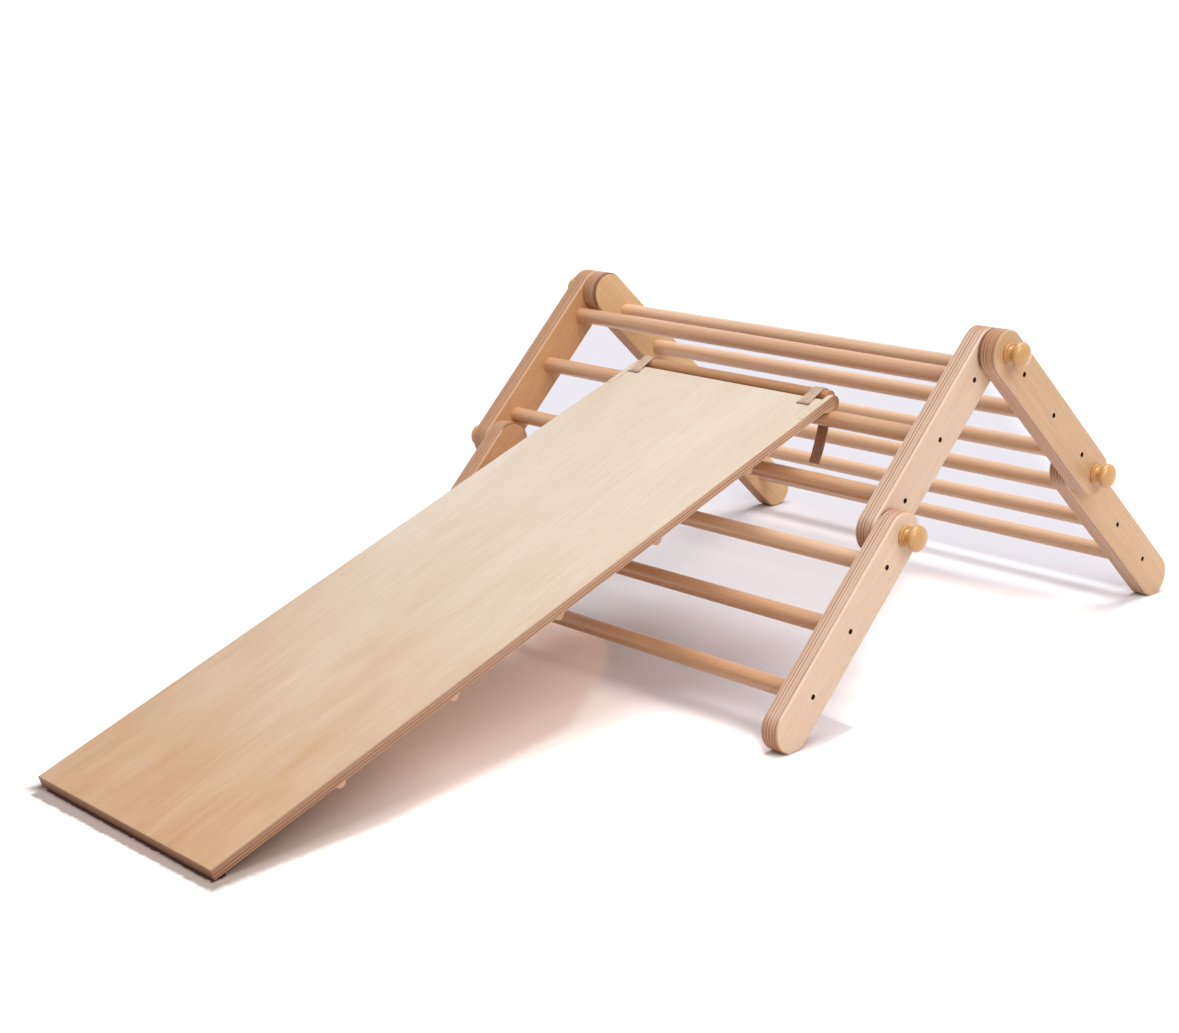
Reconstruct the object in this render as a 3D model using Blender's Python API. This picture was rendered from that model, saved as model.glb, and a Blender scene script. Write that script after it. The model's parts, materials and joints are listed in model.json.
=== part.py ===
"""A folding climbing triangle of birch plywood and beech rungs, with a slide board hooked on one rung.

Four ladder frames make two legs. Knobs clamp the frames to each other at the apex and halfway down each leg.
X runs along the rungs, the slide board reaches towards -Y, and the floor is z = 0.
"""

import math

import bmesh
import bpy
from mathutils import Matrix, Vector

# Frames: each has two rails and a ladder of rungs
RUNG_COUNT = 3
RUNG_SPACING = 0.104        # between rung axes, and straight on across a joint
RUNG_RADIUS = 0.0125
FRAME_WIDTH = 0.8425        # over the outer faces of one frame's rails
RAIL_THICKNESS = 0.030
RAIL_WIDTH = 0.066
RAIL_EDGE_ROUND = 0.0016
LEG_ANGLE = math.radians(44.1)
FOOT_FLAT_DEPTH = 0.001     # taken off the round foot where it stands
SOCKET_DEPTH = 0.010        # how far a rung is let into its rail

# Clearances
FIT_GAP = 0.0003            # between pieces that are seated on each other
HINGE_GAP = 0.0005          # between the rails that turn on each other
CUT_OVERRUN = 0.004         # how far a cutter runs past the face that it opens

# Holes for the wood screws that hold the rungs
SCREW_HEAD_RADIUS = 0.0036
SCREW_RECESS_DEPTH = 0.0055
SCREW_SHANK_RADIUS = 0.0021
SCREW_LENGTH = 0.048

# Clamping hardware at each joint
BOLT_RADIUS = 0.004
INSERT_RADIUS = 0.006
INSERT_LENGTH = 0.0245
INSERT_FLANGE_RADIUS = 0.009
INSERT_FLANGE_HEIGHT = 0.0016
BOLT_IN_INSERT = 0.022
KNOB_COLLAR_RADIUS = 0.0155
KNOB_COLLAR_HEIGHT = 0.0048
KNOB_NECK_RADIUS = 0.0115
KNOB_BALL_RADIUS = 0.01875
KNOB_BALL_DEPTH = 0.0095    # half of the flattened ball, along its axis
KNOB_BALL_HEIGHT = 0.0210   # from the rail to the ball's centre
KNOB_BORE_DEPTH = 0.022

# Slide board
BOARD_LENGTH = 1.142
BOARD_WIDTH = 0.4065
BOARD_THICKNESS = 0.015
BOARD_EDGE_ROUND = 0.0010
BOARD_OFFSET = 0.008        # of its middle line from the middle of the object
BOARD_RUNG = 2              # the front rung that carries it, counted from the apex
BOARD_LIFT = 0.0053         # from the top of that rung to the board's underside
BOARD_END_BACK = 0.002      # from the rung's axis back to the board's end

# Hook plates let into the board's corners, and the bar between them
HOOK_THICKNESS = 0.0095
HOOK_LENGTH = 0.058         # let into the board's side
HOOK_WRAP = math.radians(44)
HOOK_FRONT_WRAP = math.radians(112)
HOOK_RAMP = 0.010           # length of the slope from the saddle to the board's underside
BAR_RADIUS = 0.011
BAR_FORWARD = 0.015
BAR_ABOVE = 0.0255
BAR_TENON_RADIUS = 0.003
BAR_TENON_LENGTH = 0.006

# Straps
STRAP_WIDTH = 0.0195
STRAP_THICKNESS = 0.002
STRAP_INSET_NEAR = 0.0210   # from the board's long side to the strap's edge
STRAP_INSET_FAR = 0.0125
STRAP_BEND = 0.0022
STRAP_TUCK = 0.026
STRAP_TAIL_DROP = 0.070     # below the rung's axis
STRAP_TAIL_BACK = -0.006
STRAP_TAIL_START_PULL = 0.030
STRAP_TAIL_END_PULL = 0.035
STRAP_TAIL_START = math.radians(-78)
STRAP_TAIL_END = math.radians(-116)
SLOT_LENGTH = 0.0215
SLOT_WIDTH = 0.0035
SLOT_FROM_END = 0.019
STRAP_SCREW_HEAD_RADIUS = 0.0045
STRAP_SCREW_HEAD_HEIGHT = 0.0020
STRAP_SCREW_SHANK_RADIUS = 0.0018
STRAP_SCREW_LENGTH = 0.011
STRAP_SCREW_FROM_SLOT = 0.017

# Climbing battens under the board
BATTEN_COUNT = 5
BATTEN_PITCH = 0.1917
BATTEN_FIRST = 0.1770       # from the board's end to the first batten's middle
BATTEN_WIDTH = 0.017
BATTEN_HEIGHT = 0.0085
BATTEN_INSET = 0.004        # from the board's long side
BATTEN_END_ROUND = 0.0010

# Facets
END_STEPS = 16              # round a rail's half-round end
RUNG_STEPS = 20
KNOB_STEPS = 16
BALL_STEPS = 7
BOLT_STEPS = 10
SCREW_STEPS = 8
TAIL_STEPS = 14
BATTEN_STEPS = 6
TURN = 2 * math.pi

# Colours
BIRCH = (0.86, 0.72, 0.55, 1)
BEECH = (0.84, 0.68, 0.50, 1)
VARNISHED = (0.87, 0.62, 0.30, 1)
BAR_WOOD = (0.70, 0.46, 0.29, 1)
BOARD_WOOD = (0.90, 0.78, 0.62, 1)
WEBBING = (0.50, 0.37, 0.27, 1)
BLACK_STEEL = (0.05, 0.05, 0.05, 1)
ZINC = (0.62, 0.62, 0.60, 1)

# Sizes that follow
RAIL_RADIUS = RAIL_WIDTH / 2
PIVOT_PITCH = RUNG_COUNT * RUNG_SPACING
FRAME_SHIFT = RAIL_THICKNESS + HINGE_GAP
OUTER_FACE = (FRAME_WIDTH + FRAME_SHIFT) / 2
FOOT_HEIGHT = RAIL_RADIUS - FOOT_FLAT_DEPTH
APEX_HEIGHT = 2 * PIVOT_PITCH * math.sin(LEG_ANGLE) + FOOT_HEIGHT
SWING = math.pi / 2 - LEG_ANGLE                 # of a leg from the vertical
BOLT_CLEARANCE_RADIUS = BOLT_RADIUS + 2 * FIT_GAP

BOARD_RUNG_DOWN = (BOARD_RUNG - 1 / 2) * RUNG_SPACING
BOARD_UNDER = RUNG_RADIUS + BOARD_LIFT
BOARD_TOP = BOARD_UNDER + BOARD_THICKNESS
BOARD_TAIL = BOARD_END_BACK + BOARD_LENGTH
BOARD_RUNG_Y = -BOARD_RUNG_DOWN * math.cos(LEG_ANGLE)
BOARD_RUNG_Z = APEX_HEIGHT - BOARD_RUNG_DOWN * math.sin(LEG_ANGLE)
BOARD_SLOPE = (math.asin(BOARD_RUNG_Z / math.hypot(BOARD_TAIL, BOARD_UNDER))
               + math.atan2(BOARD_UNDER, BOARD_TAIL))
BOARD_FRONT = (BOARD_RUNG_Y - BOARD_TAIL * math.cos(BOARD_SLOPE) - BOARD_TOP * math.sin(BOARD_SLOPE))
REAR_FOOT = 2 * PIVOT_PITCH * math.cos(LEG_ANGLE) + RAIL_RADIUS
APEX_Y = -(BOARD_FRONT + REAR_FOOT) / 2         # puts the world origin under the middle of the whole


def clear_scene():
    for thing in list(bpy.data.objects):
        bpy.data.objects.remove(thing, do_unlink=True)


def wood(name, colour, roughness):
    return finish(name, colour, roughness, 0)


def finish(name, colour, roughness, metallic):
    material = bpy.data.materials.new(name)
    material.use_nodes = True
    shader = material.node_tree.nodes["Principled BSDF"]
    shader.inputs["Base Color"].default_value = colour
    shader.inputs["Roughness"].default_value = roughness
    shader.inputs["Metallic"].default_value = metallic
    return material


def hub(name, parent, place, turn):
    """An empty on a joint's axis, turned about X."""
    empty = bpy.data.objects.new(name, None)
    bpy.context.collection.objects.link(empty)
    empty.parent = parent
    empty.location = place
    empty.rotation_euler = (turn, 0, 0)
    return empty


def piece(name, bm, parent, place, material, smooth=False):
    """Turns a finished bmesh into a named object."""
    bmesh.ops.recalc_face_normals(bm, faces=bm.faces)
    mesh = bpy.data.meshes.new(name)
    bm.to_mesh(mesh)
    bm.free()
    if smooth:
        mesh.shade_smooth()
        mesh.set_sharp_from_angle(angle=math.radians(40))
    thing = bpy.data.objects.new(name, mesh)
    bpy.context.collection.objects.link(thing)
    thing.parent = parent
    thing.location = place
    if material:
        mesh.materials.append(material)
    return thing


def carve(thing, cutter_bm):
    """Cuts the cutter's bodies out of a piece."""
    cutter = piece(thing.name + "_cutter", cutter_bm, thing.parent, thing.location, None)
    cutter.hide_render = True
    cutter.display_type = "WIRE"
    cut = thing.modifiers.new("cut", "BOOLEAN")
    cut.operation = "DIFFERENCE"
    cut.solver = "EXACT"
    cut.object = cutter


def turn_profile(bm, profile, steps, centre=(0, 0, 0), side=1, closed=False):
    """Spins (along X, radius) points about the X axis and moves the body to its centre."""
    ring = [bm.verts.new((side * along, 0, radius)) for along, radius in profile]
    edges = [bm.edges.new(pair) for pair in zip(ring, ring[1:])]
    if closed:
        edges.append(bm.edges.new((ring[-1], ring[0])))
    before = set(bm.verts) - set(ring)
    bmesh.ops.spin(bm, geom=ring + edges, cent=(0, 0, 0), axis=(1, 0, 0), dvec=(0, 0, 0),
                   angle=TURN, steps=steps, use_merge=True)
    body = [vert for vert in bm.verts if vert not in before]
    bmesh.ops.remove_doubles(bm, verts=body, dist=FIT_GAP / 100)
    body = [vert for vert in bm.verts if vert not in before]
    bmesh.ops.translate(bm, verts=body, vec=centre)


def arc(centre, radius, start, end, steps):
    """Points of an arc, both ends included."""
    angles = [start + (end - start) * step / steps for step in range(steps + 1)]
    return [(centre[0] + radius * math.cos(angle), centre[1] + radius * math.sin(angle)) for angle in angles]


def slab(bm, outline, start, end, axis="X"):
    """Extrudes a closed outline from start to end along X, or up Z for an outline in X and Y."""
    if axis == "X":
        verts = [bm.verts.new((start, y, z)) for y, z in outline]
        run = Vector((end - start, 0, 0))
    else:
        verts = [bm.verts.new((x, y, start)) for x, y in outline]
        run = Vector((0, 0, end - start))
    face = bm.faces.new(verts)
    wall = bmesh.ops.extrude_face_region(bm, geom=[face])
    moved = [item for item in wall["geom"] if isinstance(item, bmesh.types.BMVert)]
    bmesh.ops.translate(bm, verts=moved, vec=run)
    return run.normalized()


def ease_rims(bm, along, width, segments=1):
    """Eases the edges that run round the two flat sides of a slab."""
    bmesh.ops.recalc_face_normals(bm, faces=bm.faces)
    bm.normal_update()
    rims = [edge for edge in bm.edges
            if sum(abs(abs(face.normal.dot(along)) - 1) < FIT_GAP for face in edge.link_faces) == 1]
    bmesh.ops.bevel(bm, geom=rims, offset=width, affect="EDGES", segments=segments, profile=0.5, material=-1)


def box_bodies(bm, low, high):
    """Adds a box between two corners."""
    size = [b - a for a, b in zip(low, high)]
    middle = [(a + b) / 2 for a, b in zip(low, high)]
    made = bmesh.ops.create_cube(bm, size=1)
    bmesh.ops.scale(bm, verts=made["verts"], vec=size)
    bmesh.ops.translate(bm, verts=made["verts"], vec=middle)


def rail_outline(swing, has_foot):
    """A long plate with half-round ends. A foot has a small flat where it meets the floor."""
    outline = arc((0, 0), RAIL_RADIUS, 0, math.pi, END_STEPS)
    if not has_foot:
        return outline + arc((0, -PIVOT_PITCH), RAIL_RADIUS, math.pi, TURN, END_STEPS)
    down = math.atan2(-math.cos(swing), -math.sin(swing)) % TURN
    half_flat = math.acos(FOOT_HEIGHT / RAIL_RADIUS)
    share = (down - half_flat - math.pi) / (math.pi - 2 * half_flat)
    first_steps = min(max(round(END_STEPS * share), 1), END_STEPS - 1)
    foot = (0, -PIVOT_PITCH)
    return (outline + arc(foot, RAIL_RADIUS, math.pi, down - half_flat, first_steps)
            + arc(foot, RAIL_RADIUS, down + half_flat, TURN, END_STEPS - first_steps))


def rung_heights():
    """Local heights of the rungs below their frame's upper pivot."""
    return [-(index + 1 / 2) * RUNG_SPACING for index in range(RUNG_COUNT)]


def rail(name, hub_empty, shift, side, swing, has_foot, pivots, material):
    """One side plate of a frame. Each pivot is (height, outer), outer where the knob sits on this rail."""
    outer = shift + side * FRAME_WIDTH / 2
    inner = outer - side * RAIL_THICKNESS
    bm = bmesh.new()
    along = slab(bm, rail_outline(swing, has_foot), inner, outer)
    ease_rims(bm, along, RAIL_EDGE_ROUND)
    thing = piece(name, bm, hub_empty, (0, 0, 0), material, smooth=True)

    cutters = bmesh.new()
    for height in rung_heights():
        turn_profile(cutters, socket_profile(), RUNG_STEPS, (inner, 0, height), side)
        turn_profile(cutters, screw_hole_profile(), SCREW_STEPS, (outer, 0, height), side)
    for height, is_outer in pivots:
        if is_outer:
            profile = [(-CUT_OVERRUN, 0), (-CUT_OVERRUN, BOLT_CLEARANCE_RADIUS),
                       (RAIL_THICKNESS + CUT_OVERRUN, BOLT_CLEARANCE_RADIUS), (RAIL_THICKNESS + CUT_OVERRUN, 0)]
        else:
            profile = insert_hole_profile()
        turn_profile(cutters, profile, BOLT_STEPS, (inner, 0, height), side)
    carve(thing, cutters)
    return thing


def socket_profile():
    """Blind socket for a rung, open at the rail's inner face."""
    radius = RUNG_RADIUS + FIT_GAP
    return [(-CUT_OVERRUN, 0), (-CUT_OVERRUN, radius), (SOCKET_DEPTH, radius), (SOCKET_DEPTH, 0)]


def screw_hole_profile():
    """Recess and shank hole, measured from the rail's outer face inwards, into the socket."""
    head = SCREW_HEAD_RADIUS + FIT_GAP
    shank = SCREW_SHANK_RADIUS + FIT_GAP
    bottom = -(RAIL_THICKNESS - SOCKET_DEPTH / 2)
    return [(CUT_OVERRUN, 0), (CUT_OVERRUN, head), (-SCREW_RECESS_DEPTH, head),
            (-SCREW_RECESS_DEPTH, shank), (bottom, shank), (bottom, 0)]


def insert_hole_profile():
    """Through hole for the threaded insert, its flange let in flush at the rail's inner face."""
    flange = INSERT_FLANGE_RADIUS + FIT_GAP
    barrel = INSERT_RADIUS + FIT_GAP
    floor = FIT_GAP + INSERT_FLANGE_HEIGHT + FIT_GAP
    barrel_end = FIT_GAP + INSERT_LENGTH + FIT_GAP
    through = RAIL_THICKNESS + CUT_OVERRUN
    return [(-CUT_OVERRUN, 0), (-CUT_OVERRUN, flange), (floor, flange), (floor, barrel), (barrel_end, barrel),
            (barrel_end, BOLT_CLEARANCE_RADIUS), (through, BOLT_CLEARANCE_RADIUS), (through, 0)]


def rung(name, hub_empty, shift, height, material):
    """A turned rung with a pilot hole for a screw in each end."""
    half = FRAME_WIDTH / 2 - RAIL_THICKNESS + SOCKET_DEPTH - FIT_GAP
    pilot = SCREW_SHANK_RADIUS + FIT_GAP
    pilot_end = FRAME_WIDTH / 2 - SCREW_RECESS_DEPTH - SCREW_LENGTH - FIT_GAP
    bm = bmesh.new()
    turn_profile(bm, [(-pilot_end, 0), (-pilot_end, pilot), (-half, pilot), (-half, RUNG_RADIUS),
                      (half, RUNG_RADIUS), (half, pilot), (pilot_end, pilot), (pilot_end, 0)], RUNG_STEPS)
    return piece(name, bm, hub_empty, (shift, 0, height), material, smooth=True)


def frame(name, hub_empty, shift, swing, has_foot, near_pivots, far_pivots, looks):
    """One ladder: two rails and its rungs."""
    rail(name + "_rail_near", hub_empty, shift, 1, swing, has_foot, near_pivots, looks["birch"])
    rail(name + "_rail_far", hub_empty, shift, -1, swing, has_foot, far_pivots, looks["birch"])
    for index, height in enumerate(rung_heights()):
        rung(name + "_rung_" + str(index + 1), hub_empty, shift, height, looks["beech"])


def knob_profile():
    """Turned knob on its axis: blind bore, flat collar, neck and flattened ball."""
    bore = BOLT_RADIUS + FIT_GAP
    start = math.pi - math.asin(KNOB_NECK_RADIUS / KNOB_BALL_RADIUS)
    turns = [start * (1 - step / BALL_STEPS) for step in range(BALL_STEPS + 1)]
    ball = [(KNOB_BALL_HEIGHT + KNOB_BALL_DEPTH * math.cos(turn), KNOB_BALL_RADIUS * math.sin(turn)) for turn in turns]
    return [(KNOB_BORE_DEPTH, 0), (KNOB_BORE_DEPTH, bore), (FIT_GAP, bore), (FIT_GAP, KNOB_COLLAR_RADIUS),
            (KNOB_COLLAR_HEIGHT, KNOB_COLLAR_RADIUS), (KNOB_COLLAR_HEIGHT, KNOB_NECK_RADIUS)] + ball


def clamp(joint, side, holder, place, looks):
    """Knob and bolt on the joint's axis, and the insert nut in the inner rail, which belongs to the holder."""
    where = "_near" if side > 0 else "_far"
    knob_hub = hub(joint + "_knob_hub" + where, holder, place, 0)
    bm = bmesh.new()
    turn_profile(bm, knob_profile(), KNOB_STEPS, side=side)
    piece(joint + "_knob" + where, bm, knob_hub, (side * OUTER_FACE, 0, 0), looks["varnished"], smooth=True)

    inner_face = 2 * RAIL_THICKNESS + HINGE_GAP         # of the inner rail, in from the outer face
    insert_end = inner_face - FIT_GAP - INSERT_LENGTH
    bolt_end = insert_end + BOLT_IN_INSERT
    bm = bmesh.new()
    turn_profile(bm, [(KNOB_BORE_DEPTH - FIT_GAP, 0), (KNOB_BORE_DEPTH - FIT_GAP, BOLT_RADIUS),
                      (-bolt_end, BOLT_RADIUS), (-bolt_end, 0)], BOLT_STEPS, side=side)
    piece(joint + "_bolt" + where, bm, knob_hub, (side * OUTER_FACE, 0, 0), looks["zinc"], smooth=True)

    bore = BOLT_RADIUS + FIT_GAP
    flange_back = FIT_GAP + INSERT_FLANGE_HEIGHT
    bm = bmesh.new()
    turn_profile(bm, [(FIT_GAP, bore), (FIT_GAP, INSERT_FLANGE_RADIUS), (flange_back, INSERT_FLANGE_RADIUS),
                      (flange_back, INSERT_RADIUS), (INSERT_LENGTH, INSERT_RADIUS), (INSERT_LENGTH, bore)],
                 BOLT_STEPS, side=side, closed=True)
    seat = Vector(place) + Vector((side * (OUTER_FACE - inner_face), 0, 0))
    piece(joint + "_insert" + where, bm, holder, seat, looks["zinc"], smooth=True)


def board_panel(board_hub, looks):
    """The plywood slide, with a rebate for a hook plate in each upper corner and a slot for each strap."""
    half = BOARD_WIDTH / 2
    neck = half - HOOK_THICKNESS - FIT_GAP
    shoulder = -BOARD_END_BACK - HOOK_LENGTH - FIT_GAP
    outline = [(-half, -BOARD_TAIL), (half, -BOARD_TAIL), (half, shoulder), (neck, shoulder),
               (neck, -BOARD_END_BACK), (-neck, -BOARD_END_BACK), (-neck, shoulder), (-half, shoulder)]
    bm = bmesh.new()
    up = slab(bm, outline, BOARD_UNDER, BOARD_TOP, axis="Z")
    ease_rims(bm, up, BOARD_EDGE_ROUND)
    panel = piece("board_panel", bm, board_hub, (BOARD_OFFSET, 0, 0), looks["board"])

    cutters = bmesh.new()
    for side in (-1, 1):
        middle = strap_middle(side)
        slot = -BOARD_END_BACK - SLOT_FROM_END
        box_bodies(cutters, (middle - SLOT_LENGTH / 2, slot - SLOT_WIDTH / 2, BOARD_UNDER - CUT_OVERRUN),
                   (middle + SLOT_LENGTH / 2, slot + SLOT_WIDTH / 2, BOARD_TOP + CUT_OVERRUN))
        pilot = STRAP_SCREW_SHANK_RADIUS + FIT_GAP
        made = bmesh.new()
        turn_profile(made, [(-CUT_OVERRUN, 0), (-CUT_OVERRUN, pilot),
                            (STRAP_SCREW_LENGTH, pilot), (STRAP_SCREW_LENGTH, 0)], SCREW_STEPS)
        stand_up(made, (middle, slot - STRAP_SCREW_FROM_SLOT, BOARD_UNDER))
        add_bodies(cutters, made)
    carve(panel, cutters)


def strap_middle(side):
    """Where a strap's middle line lies across the board."""
    inset = STRAP_INSET_NEAR if side > 0 else STRAP_INSET_FAR
    return side * (BOARD_WIDTH / 2 - inset - STRAP_WIDTH / 2)


def stand_up(bm, place):
    """Turns bodies made along X to run up Z, and moves them."""
    bmesh.ops.rotate(bm, verts=bm.verts, cent=(0, 0, 0), matrix=Matrix.Rotation(-math.pi / 2, 3, "Y"))
    bmesh.ops.translate(bm, verts=bm.verts, vec=place)


def add_bodies(target, source):
    """Moves all bodies of one bmesh into another."""
    mesh = bpy.data.meshes.new("joined")
    source.to_mesh(mesh)
    source.free()
    target.from_mesh(mesh)
    bpy.data.meshes.remove(mesh)


def hook_outline():
    """Side view of a hook plate: it bears on top of the rung and reaches down behind it."""
    seat = RUNG_RADIUS + FIT_GAP
    saddle = arc((0, 0), seat, HOOK_FRONT_WRAP, HOOK_WRAP, END_STEPS // 2)
    nose_bottom = seat * math.sin(HOOK_WRAP)
    nose_radius = (BOARD_TOP - nose_bottom) / 2
    nose = arc((seat * math.cos(HOOK_WRAP), nose_bottom + nose_radius), nose_radius,
               -math.pi / 2, math.pi / 2, END_STEPS // 2)
    back = -BOARD_END_BACK - HOOK_LENGTH
    return ([(back, BOARD_UNDER), (saddle[0][0] - HOOK_RAMP, BOARD_UNDER)] + saddle + nose[1:]
            + [(back, BOARD_TOP)])


def board_hooks(board_hub, looks):
    """A hook plate at each side, flush with the board, and the bar between them."""
    outer = BOARD_WIDTH / 2
    inner = outer - HOOK_THICKNESS
    for side, where in ((1, "_near"), (-1, "_far")):
        bm = bmesh.new()
        slab(bm, hook_outline(), side * inner, side * outer)
        plate = piece("board_hook" + where, bm, board_hub, (BOARD_OFFSET, 0, 0), looks["birch"])
        cutters = bmesh.new()
        hole = BAR_TENON_RADIUS + FIT_GAP
        depth = BAR_TENON_LENGTH + FIT_GAP
        turn_profile(cutters, [(-CUT_OVERRUN, 0), (-CUT_OVERRUN, hole), (depth, hole), (depth, 0)],
                     BOLT_STEPS, (side * inner, BAR_FORWARD, BAR_ABOVE), side)
        carve(plate, cutters)

    shoulder = inner - FIT_GAP
    tip = shoulder + BAR_TENON_LENGTH
    bm = bmesh.new()
    turn_profile(bm, [(-tip, 0), (-tip, BAR_TENON_RADIUS), (-shoulder, BAR_TENON_RADIUS), (-shoulder, BAR_RADIUS),
                      (shoulder, BAR_RADIUS), (shoulder, BAR_TENON_RADIUS), (tip, BAR_TENON_RADIUS), (tip, 0)],
                 RUNG_STEPS)
    piece("board_bar", bm, board_hub, (BOARD_OFFSET, BAR_FORWARD, BAR_ABOVE), looks["bar"], smooth=True)


def strap_path():
    """Side view of a strap's middle line, from under the board, up its slot, over the bar and down behind."""
    half = STRAP_THICKNESS / 2
    slot = -BOARD_END_BACK - SLOT_FROM_END
    under = BOARD_UNDER - FIT_GAP - half
    over = BOARD_TOP + FIT_GAP + half
    bar = (BAR_FORWARD, BAR_ABOVE)
    wrap = BAR_RADIUS + FIT_GAP + half

    path = [(slot - STRAP_TUCK, under)]
    path += arc((slot - STRAP_BEND, under + STRAP_BEND), STRAP_BEND, -math.pi / 2, 0, 3)
    path += arc((slot + STRAP_BEND, over - STRAP_BEND), STRAP_BEND, math.pi, math.pi / 2, 3)

    reach = (bar[0] - slot - STRAP_BEND, bar[1] - over)
    climb = math.atan2(reach[1], reach[0]) + math.asin(wrap / math.hypot(reach[0], reach[1]))
    leave = STRAP_TAIL_START - BOARD_SLOPE
    path += arc(bar, wrap, climb + math.pi / 2, leave + math.pi / 2, END_STEPS // 2)

    start = Vector(path[-1])
    end = in_board((STRAP_TAIL_BACK, -STRAP_TAIL_DROP))
    first = start + STRAP_TAIL_START_PULL * Vector((math.cos(leave), math.sin(leave)))
    last = STRAP_TAIL_END - BOARD_SLOPE
    second = end - STRAP_TAIL_END_PULL * Vector((math.cos(last), math.sin(last)))
    for step in range(1, TAIL_STEPS + 1):
        t = step / TAIL_STEPS
        point = ((1 - t) ** 3 * start + 3 * (1 - t) ** 2 * t * first
                 + 3 * (1 - t) * t ** 2 * second + t ** 3 * end)
        path.append((point.x, point.y))
    return path


def in_board(point):
    """A point given back from and above the rung, upright, in the sloping board's own directions."""
    back, above = point
    return Vector((back * math.cos(BOARD_SLOPE) + above * math.sin(BOARD_SLOPE),
                   above * math.cos(BOARD_SLOPE) - back * math.sin(BOARD_SLOPE)))


def band_outline(path, thickness):
    """Closed outline of a band of even thickness along a path."""
    points = [Vector(point) for point in path]
    normals = []
    for index, point in enumerate(points):
        before = points[max(index - 1, 0)]
        after = points[min(index + 1, len(points) - 1)]
        run = (after - before).normalized()
        normals.append(Vector((-run.y, run.x)))
    left = [point + normal * thickness / 2 for point, normal in zip(points, normals)]
    right = [point - normal * thickness / 2 for point, normal in zip(points, normals)]
    return [(point.x, point.y) for point in left + right[::-1]]


def board_straps(board_hub, looks):
    """A strap at each upper corner, screwed up into the board's underside at its hidden end."""
    slot = -BOARD_END_BACK - SLOT_FROM_END
    for side, where in ((1, "_near"), (-1, "_far")):
        middle = strap_middle(side)
        bm = bmesh.new()
        slab(bm, band_outline(strap_path(), STRAP_THICKNESS), middle - STRAP_WIDTH / 2, middle + STRAP_WIDTH / 2)
        strap = piece("board_strap" + where, bm, board_hub, (BOARD_OFFSET, 0, 0), looks["webbing"])

        place = (middle, slot - STRAP_SCREW_FROM_SLOT, BOARD_UNDER)
        hole = STRAP_SCREW_SHANK_RADIUS + FIT_GAP
        cutters = bmesh.new()
        turn_profile(cutters, [(-CUT_OVERRUN, 0), (-CUT_OVERRUN, hole), (CUT_OVERRUN, hole), (CUT_OVERRUN, 0)],
                     SCREW_STEPS)
        stand_up(cutters, place)
        carve(strap, cutters)

        seat = 2 * FIT_GAP + STRAP_THICKNESS
        screw = bmesh.new()
        turn_profile(screw, [(-seat - STRAP_SCREW_HEAD_HEIGHT, 0),
                             (-seat - STRAP_SCREW_HEAD_HEIGHT, STRAP_SCREW_HEAD_RADIUS / 2),
                             (-seat, STRAP_SCREW_HEAD_RADIUS), (-seat, STRAP_SCREW_SHANK_RADIUS),
                             (STRAP_SCREW_LENGTH - FIT_GAP - STRAP_SCREW_SHANK_RADIUS, STRAP_SCREW_SHANK_RADIUS),
                             (STRAP_SCREW_LENGTH - FIT_GAP, 0)], SCREW_STEPS)
        stand_up(screw, place)
        piece("board_strap_screw" + where, screw, board_hub, (BOARD_OFFSET, 0, 0), looks["black"], smooth=True)


def board_battens(board_hub, looks):
    """Half-round battens across the underside, for climbing when the board is turned over."""
    half = BOARD_WIDTH / 2 - BATTEN_INSET
    rise = (BATTEN_WIDTH / 2) ** 2 / BATTEN_HEIGHT
    radius = (BATTEN_HEIGHT + rise) / 2
    spread = math.asin(min(BATTEN_WIDTH / 2 / radius, 1))
    seat = BOARD_UNDER - FIT_GAP
    for index in range(BATTEN_COUNT):
        along = -BOARD_END_BACK - BATTEN_FIRST - index * BATTEN_PITCH
        centre = (along, seat - BATTEN_HEIGHT + radius)
        outline = arc(centre, radius, -math.pi / 2 - spread, -math.pi / 2 + spread, BATTEN_STEPS)
        bm = bmesh.new()
        across = slab(bm, outline, -half, half)
        ease_rims(bm, across, BATTEN_END_ROUND)
        piece("board_batten_" + str(index + 1), bm, board_hub, (BOARD_OFFSET, 0, 0), looks["beech"])


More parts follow.
